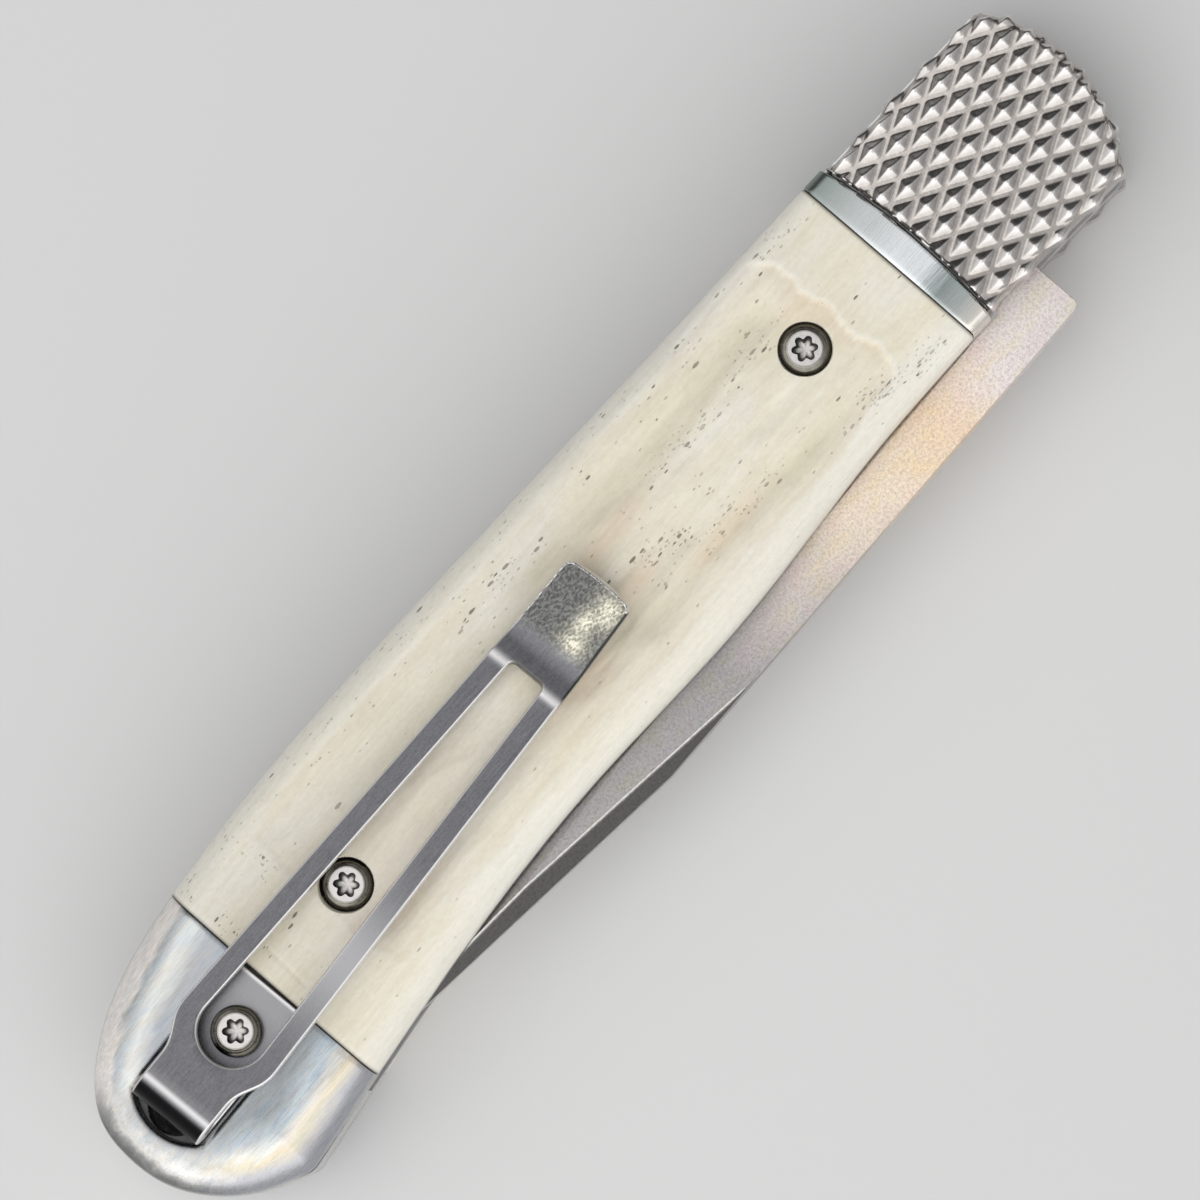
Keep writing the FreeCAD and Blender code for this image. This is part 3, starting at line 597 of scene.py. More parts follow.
def polished_material():
    # Hand-polished steel: fine lines along the handle, and bands of painted reflection that follow the edge, with
    # painted shade on the rim at the tail
    m = Surface("polished_steel_brushed")
    fine = m.grain((0.55, 8.0, 8.0), 4.0, 0.65, 0.10)
    swirl = m.grain((1.6, 5.0, 5.0), turn=-0.5)
    drift = m.grain((0.22, 0.75, 0.75), 5.0, 0.68)
    wander = m.times(m.minus(drift, 0.5), 2.0)
    away = m.spread(m.plus(m.attribute("rim"), wander), 0.0, 8.0)
    # Painted reflection in bands by distance from the edge: one set for the belly side, one for the back side and a
    # darker set at the tail
    belly = m.ramp(away, (0.02, (0.42, 0.43, 0.47)), (0.14, (0.50, 0.50, 0.52)), (0.26, (0.68, 0.62, 0.48)),
                   (0.35, (0.75, 0.73, 0.68)), (0.46, (0.58, 0.65, 0.70)), (0.62, (0.36, 0.39, 0.41)))
    back = m.ramp(away, (0.02, (0.96, 0.93, 0.90)), (0.17, (1.0, 0.97, 0.94)), (0.24, (0.56, 0.60, 0.62)),
                  (0.36, (0.70, 0.71, 0.68)), (0.56, (0.42, 0.44, 0.465)))
    tail = m.ramp(away, (0.03, (0.24, 0.245, 0.24)), (0.10, (0.40, 0.40, 0.39)), (0.17, (0.80, 0.79, 0.76)),
                  (0.27, (0.48, 0.485, 0.48)), (0.36, (0.40, 0.41, 0.415)))
    upper = m.spread(m.parts(m.place())[1], -4.0, 4.0)
    tint = m.mixed(m.attribute("tail"), m.mixed(upper, belly, back), tail)
    hue = m.grain((0.30, 1.6, 1.6), 4.0, turn=0.2)
    stain = m.ramp(hue, (0.36, (0.85, 0.91, 0.96)), (0.48, 1), (0.60, (1.0, 0.95, 0.88)), (0.66, (0.98, 0.92, 0.95)))
    tint = m.mixed(m.spread(away, 0.12, 0.30, 0.25, 0.8), tint, stain, "MULTIPLY")
    # The upright sides are plain satin steel
    facing = m.parts(m.add("NewGeometry").outputs["Normal"])[2]
    level = m.spread(m.maths("ABSOLUTE", facing), 0.10, 0.40)
    tint = m.mixed(level, (0.62, 0.615, 0.60), tint)
    lines = m.ramp(fine, (0.34, (0.74, 0.74, 0.75)), (0.62, 1))
    colour = m.mixed(0.65, tint, lines, "MULTIPLY")
    # Painted shade, near black, in the pocket and the lanyard hole
    colour = m.mixed(m.times(m.attribute("recess"), 0.9), colour, (0.035, 0.034, 0.033))
    tone = m.plus(m.times(fine, 0.6), m.times(swirl, 0.4))
    satin_rim = m.times(m.spread(away, 0.17, 0.24, 0.45, 0.0), upper)
    wave = m.grain((0.30, 0.45, 0.45), 2.0, 0.5)
    normal = m.bumps((fine, 0.010), (swirl, 0.006), (wave, 0.03), normal=m.eased(0.12))
    return m.finished(colour, m.plus(m.vary(tone, 0.20, 0.38), satin_rim), normal)


bone = bone_material()
milled = knurl_material()
satin_clip = clip_material()
turned = screw_material()
stonewashed = blade_material()
polished = polished_material()
satin = metal("satin_steel", (0.46, 0.45, 0.44), (0.62, 0.61, 0.60), (0.35, 8.0, 8.0), (0.28, 0.42),
              line_depth=0.005, edge=0.05)
ground_pin = metal("ground_pin_steel", (0.52, 0.52, 0.52), (0.68, 0.68, 0.68), (6.0, 6.0, 1.0), (0.22, 0.34),
                   edge=0.05)
spring = metal("tempered_spring_steel", (0.58, 0.57, 0.56), (0.76, 0.75, 0.74), (0.4, 6.0, 9.0), (0.20, 0.32),
               edge=0.06)
bronze = metal("rolled_bronze", (0.50, 0.29, 0.12), (0.68, 0.44, 0.21), (0.4, 7.0, 7.0), (0.26, 0.40), speck=0.003)


# Bone scales
BONE_COLUMNS = 470
WALL_ROWS, ARC_ROWS, CROWN_ROWS = 4, 16, 124
FRONT_BONE_R = 1.4
FRONT_BONE_FROM = 16.0
# Front end of the natural skin on the clip side
SKIN_Y = (-5.2, -4.9, -3.9, -2.55, -0.65, 0.9, 2.4, 4.2, 5.3, 7.1, 8.5)
SKIN_X = (25.6, 26.5, 27.3, 27.4, 26.9, 27.0, 27.3, 26.8, 27.2, 27.1, 26.0)
SKIN_FRONT, SKIN_REAR, SKIN_LOW, SKIN_HIGH = 26.6, -29.6, -5.5, 9.0
LEDGE_DEPTH = 0.14
# Shallow channels of the skin: places along and across, half width and depth
CHANNELS = (
    ((-6, 3, 12, 20, 25), (5.9, 5.6, 5.3, 5.5, 5.2), 1.35, 0.42),
    ((-2, 5, 12.4, 15.4, 18.7, 22.5, 25.5), (-3.6, -3.4, -3.3, -3.1, -3.5, -4.2, -4.7), 1.15, 0.40),
    ((-32, -20, -8, 2, 10), (-3.4, -2.6, -2.9, -1.6, -0.4), 1.6, 0.26),
    ((-30, -22, -12, -3, 4), (3.6, 4.6, 4.9, 4.2, 3.4), 1.5, 0.22),
)
# Stains: place along and across, half length and half width
STAINS = ((-6, -2.5, 5, 1.6), (2.5, -0.5, 3.0, 1.2), (-20, 1.0, 7, 2.0), (-26, -2.5, 4, 1.6), (4, 3.4, 5, 1.2),
          (25.0, 2.4, 1.8, 2.2), (10.0, -3.0, 4, 1.0))
# Groups of pores: the same, and how dense they are
PORES = ((29.2, -5.7, 1.6, 0.8, 0.95), (24.8, -4.6, 2.6, 0.8, 0.75), (16.0, 3.9, 7.0, 0.8, 0.50),
         (20.5, 5.0, 2.5, 0.7, 0.15), (7.0, -0.6, 3.4, 1.8, 0.55), (8.0, 7.4, 10.0, 1.1, 0.14),
         (-4.0, 6.6, 3.0, 1.2, 0.26), (-30.0, 6.4, 0.8, 1.6, 0.55), (-34.6, 5.0, 0.9, 2.0, 0.40),
         (14.0, -2.6, 5.0, 0.8, 0.35), (29.5, 8.4, 2.5, 0.8, 0.45), (-18.0, 8.5, 5.0, 0.7, 0.12))


def trough(x, y, at_x, at_y, width, depth):
    # A shallow channel along the bone that fades out at both ends
    ends = plateau((at_x[0], at_x[0] + 6), (at_x[-1] - 2.5, at_x[-1] + 1.0), x)
    return depth * ends * bell(y - np.interp(x, at_x, at_y), width)


def bone_layers(x, y, seed, lower):
    # Depth of the natural skin below the ground crown, and where stains, paler rims, pores and dirt lie, with
    # painted light under the clip, a painted highlight along the ledge's edge and painted shade at its foot
    if lower:
        front_x = SKIN_FRONT + waver(y / 2.3 + 7, 3, seed, 2, 2.2)
    else:
        front_x = sum(np.interp(y + o, SKIN_Y, SKIN_X) for o in (-0.3, 0.0, 0.3)) / 3
        front_x = front_x + waver(y / 0.8, 2, seed, 2, 0.5)
    rear_x = SKIN_REAR + waver(y / 2.6 + 2, 9, seed + 5, 2, 1.8)
    low = y - SKIN_LOW + waver(x / 6.0, 1, seed + 9, 3, 1.8)
    high = SKIN_HIGH - y + waver(x / 5.0, 4, seed + 13, 3, 1.8)
    inner = soft_min(soft_min(front_x - x, x - rear_x, 0.6), soft_min(low, high, 0.6), 0.6)
    strong = 0.45 + 0.55 * step(12.0, 24.0, x)
    ledge = LEDGE_DEPTH * strong * step(0.0, 0.65, inner)
    rolling = layered(x / 9.0 + 3, y / 2.8 + 8, seed + 31, 3)
    ripple = layered(x / 3.0 + 1, y / 0.9 + 2, seed + 41, 3)
    skin = sum(trough(x, y, *channel) for channel in CHANNELS)
    skin = skin + 0.55 * np.maximum(rolling - 0.36, 0) + 0.10 * (ripple - 0.25)
    from_joint = np.minimum(BONE_X[1] - x, x - BONE_X[0])
    ground = 0.05 * layered(x / 4.0 + 5, y / 3.0 + 1, seed + 61, 2) * step(0.5, 3.5, from_joint)
    depth = np.maximum(ledge + step(0.2, 3.0, inner) * skin + ground, 0)
    from_belly, from_back = y - edge_y(x, False)[0], edge_y(x, True)[0] - y
    pale = 1 - step(0.0, 3.0, np.minimum(from_belly, from_back))
    # Painted highlight along the ledge's edge
    pale = np.clip(pale + 0.65 * strong * bell(inner - 0.02, 0.20), 0, 1)
    if not lower:
        # A scratch across the rear end, and painted light on the bone under the clip, which offsets the clip's shade
        # there
        depth = depth + 0.05 * bell(x + 34.4 - 0.06 * y, 0.16) * plateau((-1.9, -1.2), (2.5, 3.3), y)
        u, v = in_clip(x, y)
        pale = np.clip(pale + 0.45 * plateau((4.0, 9.0), (30.0, 33.0), u) * bell(v, 2.2, 4), 0, 1)
    stain = sum(blot(x, y, *place) for place in STAINS)
    stain = np.clip(stain * (0.3 + 1.3 * layered(x / 4.0, y / 1.5, seed + 51, 3)), 0, 1)
    # Painted shade at the foot of the ledge, just inside the skin's edge
    ledge_shade = strong * step(0.15, 0.6, inner) * np.exp(-np.maximum(inner - 0.6, 0) / 0.9)
    clumps = np.clip(3.2 * (layered(x / 2.4, y / 1.0, seed + 71, 2) - 0.28), 0, 1.4)
    pits = 0.006 + sum(dense * blot(x, y, *place) for *place, dense in PORES) * clumps
    wear_and_glint = bell(from_back - 0.9, 0.7) * (1 - step(18.0, 26.0, x))
    return depth, {
        "depth": np.clip((depth - 0.20) / 0.55, 0, 1) * (0.35 + 0.65 * step(-8.0, 8.0, x)),
        # The stain layer also carries the painted shade at the ledge's foot
        "stain": np.clip(stain + 0.55 * ledge_shade, 0, 1),
        "pale": pale,
        "pits": pits + 0.15 * wear_and_glint * clumps,
        "dirt": bell(from_joint, 0.13),
    }


def bone_side(edge, slope, way, radius):
    # One side of a cross-section: the wall from the liner up, and the rounded edge
    wide = radius * hypot(1, slope)
    lean = atan(way * crown_slope(edge + way * wide * 0.85))
    touch = edge + way * wide * (1 - sin(lean))
    center_z = crown(touch) - radius * cos(lean)
    walls = [(edge, LINER_TOP + (center_z - LINER_TOP) * t) for t in np.linspace(0, 1, WALL_ROWS)[:-1]]
    turns = np.linspace(0, pi / 2 - lean, ARC_ROWS)
    return walls + [(edge + way * wide * (1 - cos(t)), center_z + radius * sin(t)) for t in turns]


def bone_scale(name, seed, lower):
    x = np.linspace(*BONE_X, BONE_COLUMNS)
    radii = EDGE_R + (FRONT_BONE_R - EDGE_R) * step(FRONT_BONE_FROM, FRONT_JOINT_X, x)
    sections = []
    for belly, belly_slope, back, back_slope, radius in zip(*edge_y(x, False), *edge_y(x, True), radii):
        low = bone_side(belly, belly_slope, 1, radius)
        high = bone_side(back, back_slope, -1, radius)
        across = np.linspace(low[-1][0], high[-1][0], CROWN_ROWS)[1:-1]
        sections.append(low + list(zip(across, crown(across))) + high[::-1])
    yy, zz = np.moveaxis(np.array(sections), 2, 0)
    rows, cols = yy.shape
    xx = np.repeat(x[:, None], cols, axis=1)
    depth, layers = bone_layers(xx, yy, seed, lower)
    # Each point moves in along its section's normal, and not at the inner face
    dy, dz = np.gradient(yy, axis=1), np.gradient(zz, axis=1)
    moved = depth * step(LINER_TOP, LINER_TOP + 1.2, zz) / np.hypot(dy, dz)
    yy, zz = yy + dz * moved, zz - dy * moved
    ease = JOINT_EASE * np.exp(-np.minimum(xx - x[0], x[-1] - xx) / JOINT_EASE)
    zz = np.where(zz > LINER_TOP + 0.5, zz - ease, zz)
    verts = np.stack([xx, yy, zz], axis=2).reshape(-1, 3)
    last = (rows - 1) * cols
    faces = grid_faces(rows, cols) + [tuple(range(cols)), tuple(range(last, last + cols))[::-1]]
    faces += [(a, a + cols - 1, a + 2 * cols - 1, a + cols) for a in range(0, last, cols)]
    obj = make(name, verts, faces, bone, {key: values.ravel() for key, values in layers.items()})
    cut_by(outward(obj), [screw_hole(*place) for place in SCREW_PLACES])
    return smooth(on_side(obj, lower), 38)


def screw_hole(x, y):
    # Hole for the shank and counterbore for the head, eased at its mouth
    seat = 10.985
    return lathe_cutter(x, y, [(SHANK_HOLE_R, 8), (SHANK_HOLE_R, seat), (1.97, seat), (1.97, 11.9), (2.0, 12.1),
                               (2.06, 12.24), (2.2, 12.46), (2.4, 12.7), (2.4, 14)])


# Front bolsters
KNURL_EDGE_R = 1.1
KNURL_FLOOR = 0.15
KNURL_DEPTH = 0.47
KNURL_BLUNT = 0.88
KNURL_CENTER_X = 42.35
KNURL_LONG, KNURL_SHORT = 3.5, 1.9
KNURL_LEAN = 4.5
PATCH_LENGTH, PATCH_WIDTH, PATCH_STEP = 20.0, 17.2, 0.085
RING_DEPTH, RING_HALF = 0.42, 0.17
BOLSTER_EASE = 0.08
WALL_LEVELS = 7


def shell_height(points):
    away, edge, inward = nearest_border(points)
    touch = edge[:, 1] + inward[:, 1] * KNURL_EDGE_R * 0.88
    lean = np.arctan(np.maximum(crown_slope(touch) * inward[:, 1], 0))
    reach = KNURL_EDGE_R * (1 - np.sin(lean))
    center = crown(edge[:, 1] + inward[:, 1] * reach) - KNURL_EDGE_R * np.cos(lean)
    inside = KNURL_EDGE_R - np.minimum(away, KNURL_EDGE_R)
    arc = center + np.sqrt(np.maximum(KNURL_EDGE_R ** 2 - inside ** 2, 0))
    return np.where(away < reach, arc, crown(points[:, 1]))


def milled_rise(x, y):
    # Two families of flat-bottomed grooves that leave a blunt pyramid between them
    pitch = KNURL_LONG * KNURL_SHORT / hypot(KNURL_LONG, KNURL_SHORT)
    half = degrees(atan2(KNURL_SHORT, KNURL_LONG))
    rises = []
    for angle in (half - KNURL_LEAN, -half - KNURL_LEAN):
        a = radians(angle)
        c = (-(x - KNURL_CENTER_X) * sin(a) + (y - CROWN_Y) * cos(a)) / pitch
        t = np.abs(c - np.round(c)) * pitch
        rises.append(np.clip((t - KNURL_FLOOR) / (pitch / 2 - KNURL_FLOOR), 0, 1.1))
    return np.clip(soft_min(soft_min(*rises, 0.20), KNURL_BLUNT, 0.24), 0, 1)


def border_run(start, end, shares):
    # Points at these shares of the outline's length from one place on it to another
    first, last = (np.argmin(((border - place) ** 2).sum(axis=1)) for place in (start, end))
    line = border[(first + np.arange((last - first) % len(border) + 1)) % len(border)]
    return points_along(line, shares * lengths(line)[-1])


def eased_shares(total, first, last):
    # Even steps along the surface, closer in plan where an end rounds over the edge
    arc = KNURL_EDGE_R * pi / 2
    flat = total - KNURL_EDGE_R * (first + last)
    whole = flat + arc * (first + last)
    place = []
    for s in np.linspace(0, whole, int(whole / PATCH_STEP)):
        if first and s < arc:
            place.append(KNURL_EDGE_R * (1 - cos(s / KNURL_EDGE_R)))
        elif last and s > flat + arc * first:
            place.append(total - KNURL_EDGE_R * (1 - cos((whole - s) / KNURL_EDGE_R)))
        else:
            place.append(s - arc * first + KNURL_EDGE_R * first)
    return np.array(place) / total


def joint_corners(x):
    return [np.array([x, edge_y(x, upper)[0]]) for upper in (False, True)]


def bolster_plan(low, high):
    # Grid in plan between the joint, the two sides and the nose
    belly, back = (border[np.argmax(border[:, 0] + border[:, 1] * way)] for way in (-0.9, 0.9))
    us, vs = eased_shares(PATCH_LENGTH, 0, 1), eased_shares(PATCH_WIDTH, 1, 1)
    low_side = border_run(low, belly, us)
    nose = border_run(belly, back, vs)
    high_side = border_run(back, high, 1 - us)
    low_side[0], high_side[0] = low, high
    joint = low + (high - low) * vs[:, None]
    u, v = us[:, None, None], vs[None, :, None]
    plan = (1 - v) * low_side[:, None, :] + v * high_side[:, None, :] + (1 - u) * joint[None] + u * nose[None]
    return plan - ((1 - u) * (1 - v) * joint[0] + (1 - u) * v * joint[-1] + u * (1 - v) * nose[0] + u * v * nose[-1])


def front_bolster(name, seed, lower):
    joint_x = FRONT_JOINT_X + JOINT_GAP
    plan = bolster_plan(*joint_corners(joint_x))
    rows, cols = plan.shape[:2]
    z = shell_height(plan.reshape(-1, 2)).reshape(rows, cols)
    surface = np.dstack([plan, z])
    normal = np.cross(np.gradient(surface, axis=0), np.gradient(surface, axis=1))
    normal /= np.linalg.norm(normal, axis=2)[..., None]
    x, y = plan[..., 0], plan[..., 1]
    radius = np.hypot(x - BAND_CENTER_X, y - CROWN_Y) - BAND_R
    cut = 1 - milled_rise(x, y)
    wear = layered(x / 1.1, y / 0.9, seed, 3)
    milled_zone = step(0.20, 0.45, radius)
    ring_cut = RING_DEPTH * bell(radius - RING_HALF, RING_HALF, 4)
    depth = np.maximum(KNURL_DEPTH * cut * milled_zone + 0.06 * (wear - 0.5) * milled_zone * (1 - cut), ring_cut)
    depth = np.maximum(depth, 0) + BOLSTER_EASE * np.exp(-(x - joint_x) / JOINT_EASE)
    top = (surface - normal * depth[..., None]).reshape(-1, 3)
    # Wall below the rounded edge, on the three outer sides
    ring = [i * cols for i in range(rows)] + [(rows - 1) * cols + j for j in range(1, cols)]
    ring += [i * cols + cols - 1 for i in range(rows - 2, -1, -1)]
    high = z.ravel()[ring]
    levels = [high + (LINER_TOP - high) * (level / WALL_LEVELS) for level in range(1, WALL_LEVELS + 1)]
    verts = np.vstack([top] + [np.column_stack([top[ring, :2], level]) for level in levels])
    groove = np.clip(cut * milled_zone, 0, 1).ravel()
    groove = np.concatenate([groove] + [groove[ring]] * WALL_LEVELS)
    walls = [list(range(start, start + len(ring))) for start in range(len(top), len(verts), len(ring))]
    faces = grid_faces(rows, cols)
    for above, below in zip([ring] + walls, walls):
        faces += [(above[k], below[k], below[k + 1], above[k + 1]) for k in range(len(ring) - 1)]
    faces.append((*range(cols), *(wall[-1] for wall in walls), *(wall[0] for wall in walls[::-1])))
    faces.append(tuple(walls[-1]))
    obj = outward(make(name, verts, faces, milled, {"groove": groove}))
    return smooth(on_side(obj, lower), 50)


# Rear bolsters
POCKET_HALF = 3.15
POCKET_REAR = -9.2
POCKET_ARC = 4.3
POCKET_FLOOR = 11.34
REAR_EDGE_WIDE = 1.3
LIP, LIP_DROP = 0.62, 0.45
RIM_REACH = 3.7
GRID_STEP = 0.17
MOUTH_ROWS = (-0.04, 0.02, 0.06, 0.12, 0.19, 0.27, 0.36, 0.46, 0.57, 0.68)


def in_clip(x, y):
    # Plan place in the clip's frame
    x, y = x - CLIP_AT[0], y - CLIP_AT[1]
    return x * CLIP_COS + y * CLIP_SIN, -x * CLIP_SIN + y * CLIP_COS


def from_clip(u, v):
    return CLIP_AT[0] + u * CLIP_COS - v * CLIP_SIN, CLIP_AT[1] + u * CLIP_SIN + v * CLIP_COS


def mouth(points, pocket):
    # Distance outside the mouth of the clip's pocket, or of the lanyard hole on the other side
    x, y = points[:, 0], points[:, 1]
    if not pocket:
        return np.hypot(x - LANYARD[0], y - LANYARD[1]) - LANYARD_R
    u, v = in_clip(x, y)
    side = np.abs(v) - POCKET_HALF
    back = np.hypot(u - POCKET_REAR - POCKET_ARC, v) - POCKET_ARC
    return np.where(u < POCKET_REAR + POCKET_ARC, np.maximum(side, back), side)


def pocket_end(reach, count):
    # The round end of the pocket, in the clip's frame, at a distance outside it
    half, arc = POCKET_HALF + reach, POCKET_ARC + reach
    edge = asin(half / arc)
    turns = np.linspace(pi + edge, pi - edge, count)
    return [(POCKET_REAR + POCKET_ARC + arc * cos(t), arc * sin(t)) for t in turns]


def mouth_line(pocket, reach):
    # Line at a distance outside that mouth, with points about 0.1 mm apart
    if not pocket:
        turns = np.linspace(0, 2 * pi, 140, endpoint=False)
        radius = LANYARD_R + reach
        return np.column_stack([LANYARD[0] + radius * np.cos(turns), LANYARD[1] + radius * np.sin(turns)])
    half = POCKET_HALF + reach
    end = pocket_end(reach, 62)
    line = [(u, -half) for u in np.arange(5.0, end[0][0], -0.1)] + end
    line += [(u, half) for u in np.arange(end[0][0] + 0.1, 5.0, 0.1)]
    return np.array([from_clip(u, v) for u, v in line])


def pillow(points, pocket):
    # Height of the polished end: the crown, a rounding that widens to the rear and an eased mouth
    x, y = points[:, 0], points[:, 1]
    wide = EDGE_R + REAR_EDGE_WIDE * step(0.0, 7.0, REAR_JOINT_X - x)
    inside = np.clip((wide - nearest_border(points)[0]) / wide, 0, 1)
    z = crown(y) - EDGE_R * (1 - np.sqrt(1 - inside ** 2))
    lip = np.clip((LIP - mouth(points, pocket)) / LIP, 0, 0.93)
    return z - LIP_DROP * (1 - np.sqrt(1 - lip ** 2))


def pillow_plan(joint_x, pocket):
    # Triangles in plan: rows along the rounded edge, a grid in the middle and rows along the mouth
    low, high = joint_corners(joint_x)
    behind = border[:, 0] < joint_x - 0.04
    rim, inward = border[behind], border_in[behind]
    joint = np.linspace(low[1], high[1], 220)[:-1]
    loop = np.vstack([[high], rim, np.column_stack([np.full(len(joint), joint_x), joint])])
    inner = []
    for t in np.linspace(0, pi / 2, 20)[1:]:
        reach = RIM_REACH * (1 - cos(t))
        row = rim + inward * reach
        inner.append(row[nearest_border(row)[0] > reach - 0.01][::2])
    gx, gy = np.meshgrid(np.arange(-52, joint_x, GRID_STEP), np.arange(-11, 11, GRID_STEP))
    grid = np.column_stack([gx.ravel(), gy.ravel()])
    belly, back = (edge_y(grid[:, 0], upper)[0] for upper in (False, True))
    grid = grid[(grid[:, 1] > belly + 0.4) & (grid[:, 1] < back - 0.4)]
    inner.append(grid[nearest_border(grid)[0] > RIM_REACH + 0.05])
    inner = np.vstack(inner)
    inner = inner[np.abs(mouth(inner, pocket)) > 0.66]
    inner = np.vstack([inner] + [mouth_line(pocket, reach) for reach in MOUTH_ROWS])
    points = np.vstack([loop, inner[inner[:, 0] < joint_x - 0.06]])
    made = delaunay_2d_cdt([Vector(p) for p in points], [], [list(range(len(loop)))], 1, 1e-6)
    return np.array([tuple(v) for v in made[0]]), [tuple(f) for f in made[2]]


def rear_bolster(name, pocket, lower):
    joint_x = REAR_JOINT_X - JOINT_GAP
    plan, faces = pillow_plan(joint_x, pocket)
    z = pillow(plan, pocket) - BOLSTER_EASE * np.exp(-(joint_x - plan[:, 0]) / JOINT_EASE)
    verts = list(np.column_stack([plan, z]))
    after = rim_of(faces)
    foot = {}
    for a, b in after.items():
        for k in (a, b):
            if k not in foot:
                foot[k] = len(verts)
                verts.append((*plan[k], LINER_TOP))
        faces.append((b, a, foot[a], foot[b]))
    base = [next(iter(after))]
    while after[base[-1]] != base[0]:
        base.append(after[base[-1]])
    faces.append(tuple(foot[k] for k in reversed(base)))
    obj = outward(make(name, verts, faces, polished))
    cutters = [lathe_cutter(*LANYARD, [(LANYARD_R, 8), (LANYARD_R, 14)])]
    if pocket:
        shape = [(6.0, -POCKET_HALF), (6.0, POCKET_HALF)] + pocket_end(0, 40)[::-1]
        cutters.append(prism_cutter([from_clip(u, v) for u, v in shape], POCKET_FLOOR, 14))
        cutters.append(lathe_cutter(*CLIP_AT, [(SHANK_HOLE_R, 8), (SHANK_HOLE_R, 12)]))
    cut_by(obj, cutters)
    # Painted shade in the pocket and the lanyard hole
    place = np.array([v.co for v in obj.data.vertices]) / MM
    sunk = pillow(place[:, :2], pocket) - place[:, 2]
    recess = (mouth(place[:, :2], pocket) < 0.02) & (sunk > 0.25)
    away, _, inward = nearest_border(place[:, :2])
    # rim and tail place the painted reflection bands and the painted shade at the tail
    set_layers(obj.data, {"recess": recess, "rim": away, "tail": step(0.60, 0.97, inward[:, 0])})
    return smooth(on_side(obj, lower), 34)


# Liners, trimmed behind the milled edge so that its notches show
TRIM_X = (34.6, 35.1)
TRIM_FROM = 34.7
TRIM = KNURL_DEPTH + 0.02
ON_EDGE = 0.06


def trimmed_liner(node):
    mesh = cad_nodes[node].data.copy()
    bm = bmesh.new()
    bm.from_mesh(mesh)
    for x in TRIM_X:
        bisect(bm, (x * MM, 0, 0), (1, 0, 0), 1e-7)
    front = [v for v in bm.verts if v.co.x > TRIM_FROM * MM]
    away, _, inward = nearest_border(np.array([v.co[:2] for v in front]) / MM)
    for v, gap, way in zip(front, away, inward):
        if gap < ON_EDGE:
            v.co.x += way[0] * TRIM * MM
            v.co.y += way[1] * TRIM * MM
    bm.to_mesh(mesh)
    bm.free()
    coat(mesh, satin)
    return smooth(linked(node + "_trimmed", mesh), 30)


# Screws
SCREW_COUNT = 96
HEAD_R, HEAD_H = 1.9, 1.3
SHANK_R = 1.0
SOCKET_DEPTH = 0.86


def screw(name, node, turn, lower):
    low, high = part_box(node)
    height = (high.z - low.z) / MM
    angles = np.linspace(0, 2 * pi, SCREW_COUNT, endpoint=False)
    lobes = 0.80 + 0.14 * np.cos(6 * (angles - turn)) - 0.02 * np.cos(12 * (angles - turn))
    # Rings from the socket's floor outwards: radius, height and how bright the colour is, which puts painted light
    # in the socket floor's middle and painted shade towards its walls and on the dome
    rings = [
        (lobes * 0.45, -0.83, 0.8), (lobes * 0.66, -0.80, 0.35), (lobes - 0.16, -0.785, 0), (lobes - 0.04, -0.77, 0),
        (lobes, -0.70, 0), (lobes, -0.10, 0), (lobes + 0.03, -0.03, 0), (lobes + 0.06, 0.0, 1),
        (lobes * 0.3 + 0.84, 0.0, 1), (1.20, 0.0, 1), (1.26, 0.0, 0.4), (1.32, 0.0, 0.25), (1.36, -0.012, 0.2),
        (1.39, -0.045, 0.1),
    ]
    socket_walls = range(2, 7)
    for a in np.linspace(0.12, 1.0, 9) * pi / 2:
        rings.append((1.38 + 0.52 * sin(a), -0.05 - 0.76 * (1 - cos(a)), 0))
    rings += [(HEAD_R, -0.9, 0), (HEAD_R, 0.03 - HEAD_H, 0), (HEAD_R - 0.03, -HEAD_H, 0),
              (SHANK_R + 0.02, -HEAD_H, 0), (SHANK_R, -HEAD_H - 0.04, 0), (SHANK_R, -height + 0.1, 0),
              (SHANK_R - 0.1, -height, 0)]
    verts, face, socket = [(0, 0, -SOCKET_DEPTH)], [0.9], [0.0]
    for i, (radius, z, bright) in enumerate(rings):
        verts += list(zip(radius * np.cos(angles), radius * np.sin(angles), np.full(SCREW_COUNT, z)))
        face += [bright] * SCREW_COUNT
        socket += [float(i in socket_walls)] * SCREW_COUNT
    end = len(verts)
    verts.append((0, 0, -height))
    around = [(k, (k + 1) % SCREW_COUNT) for k in range(SCREW_COUNT)]
    faces = [(0, 1 + k, 1 + after) for k, after in around]
    for a in range(1, end - SCREW_COUNT, SCREW_COUNT):
        faces += [(a + k, a + k + SCREW_COUNT, a + after + SCREW_COUNT, a + after) for k, after in around]
    faces += [(end, end - SCREW_COUNT + after, end - SCREW_COUNT + k) for k, after in around]
    obj = outward(make(name, verts, faces, turned, {"face": face + [0.0], "socket": socket + [0.0]}))
    obj.location = (low + high) / 2
    obj.location.z = low.z if lower else high.z
    return smooth(on_side(obj, lower, 0), 40)


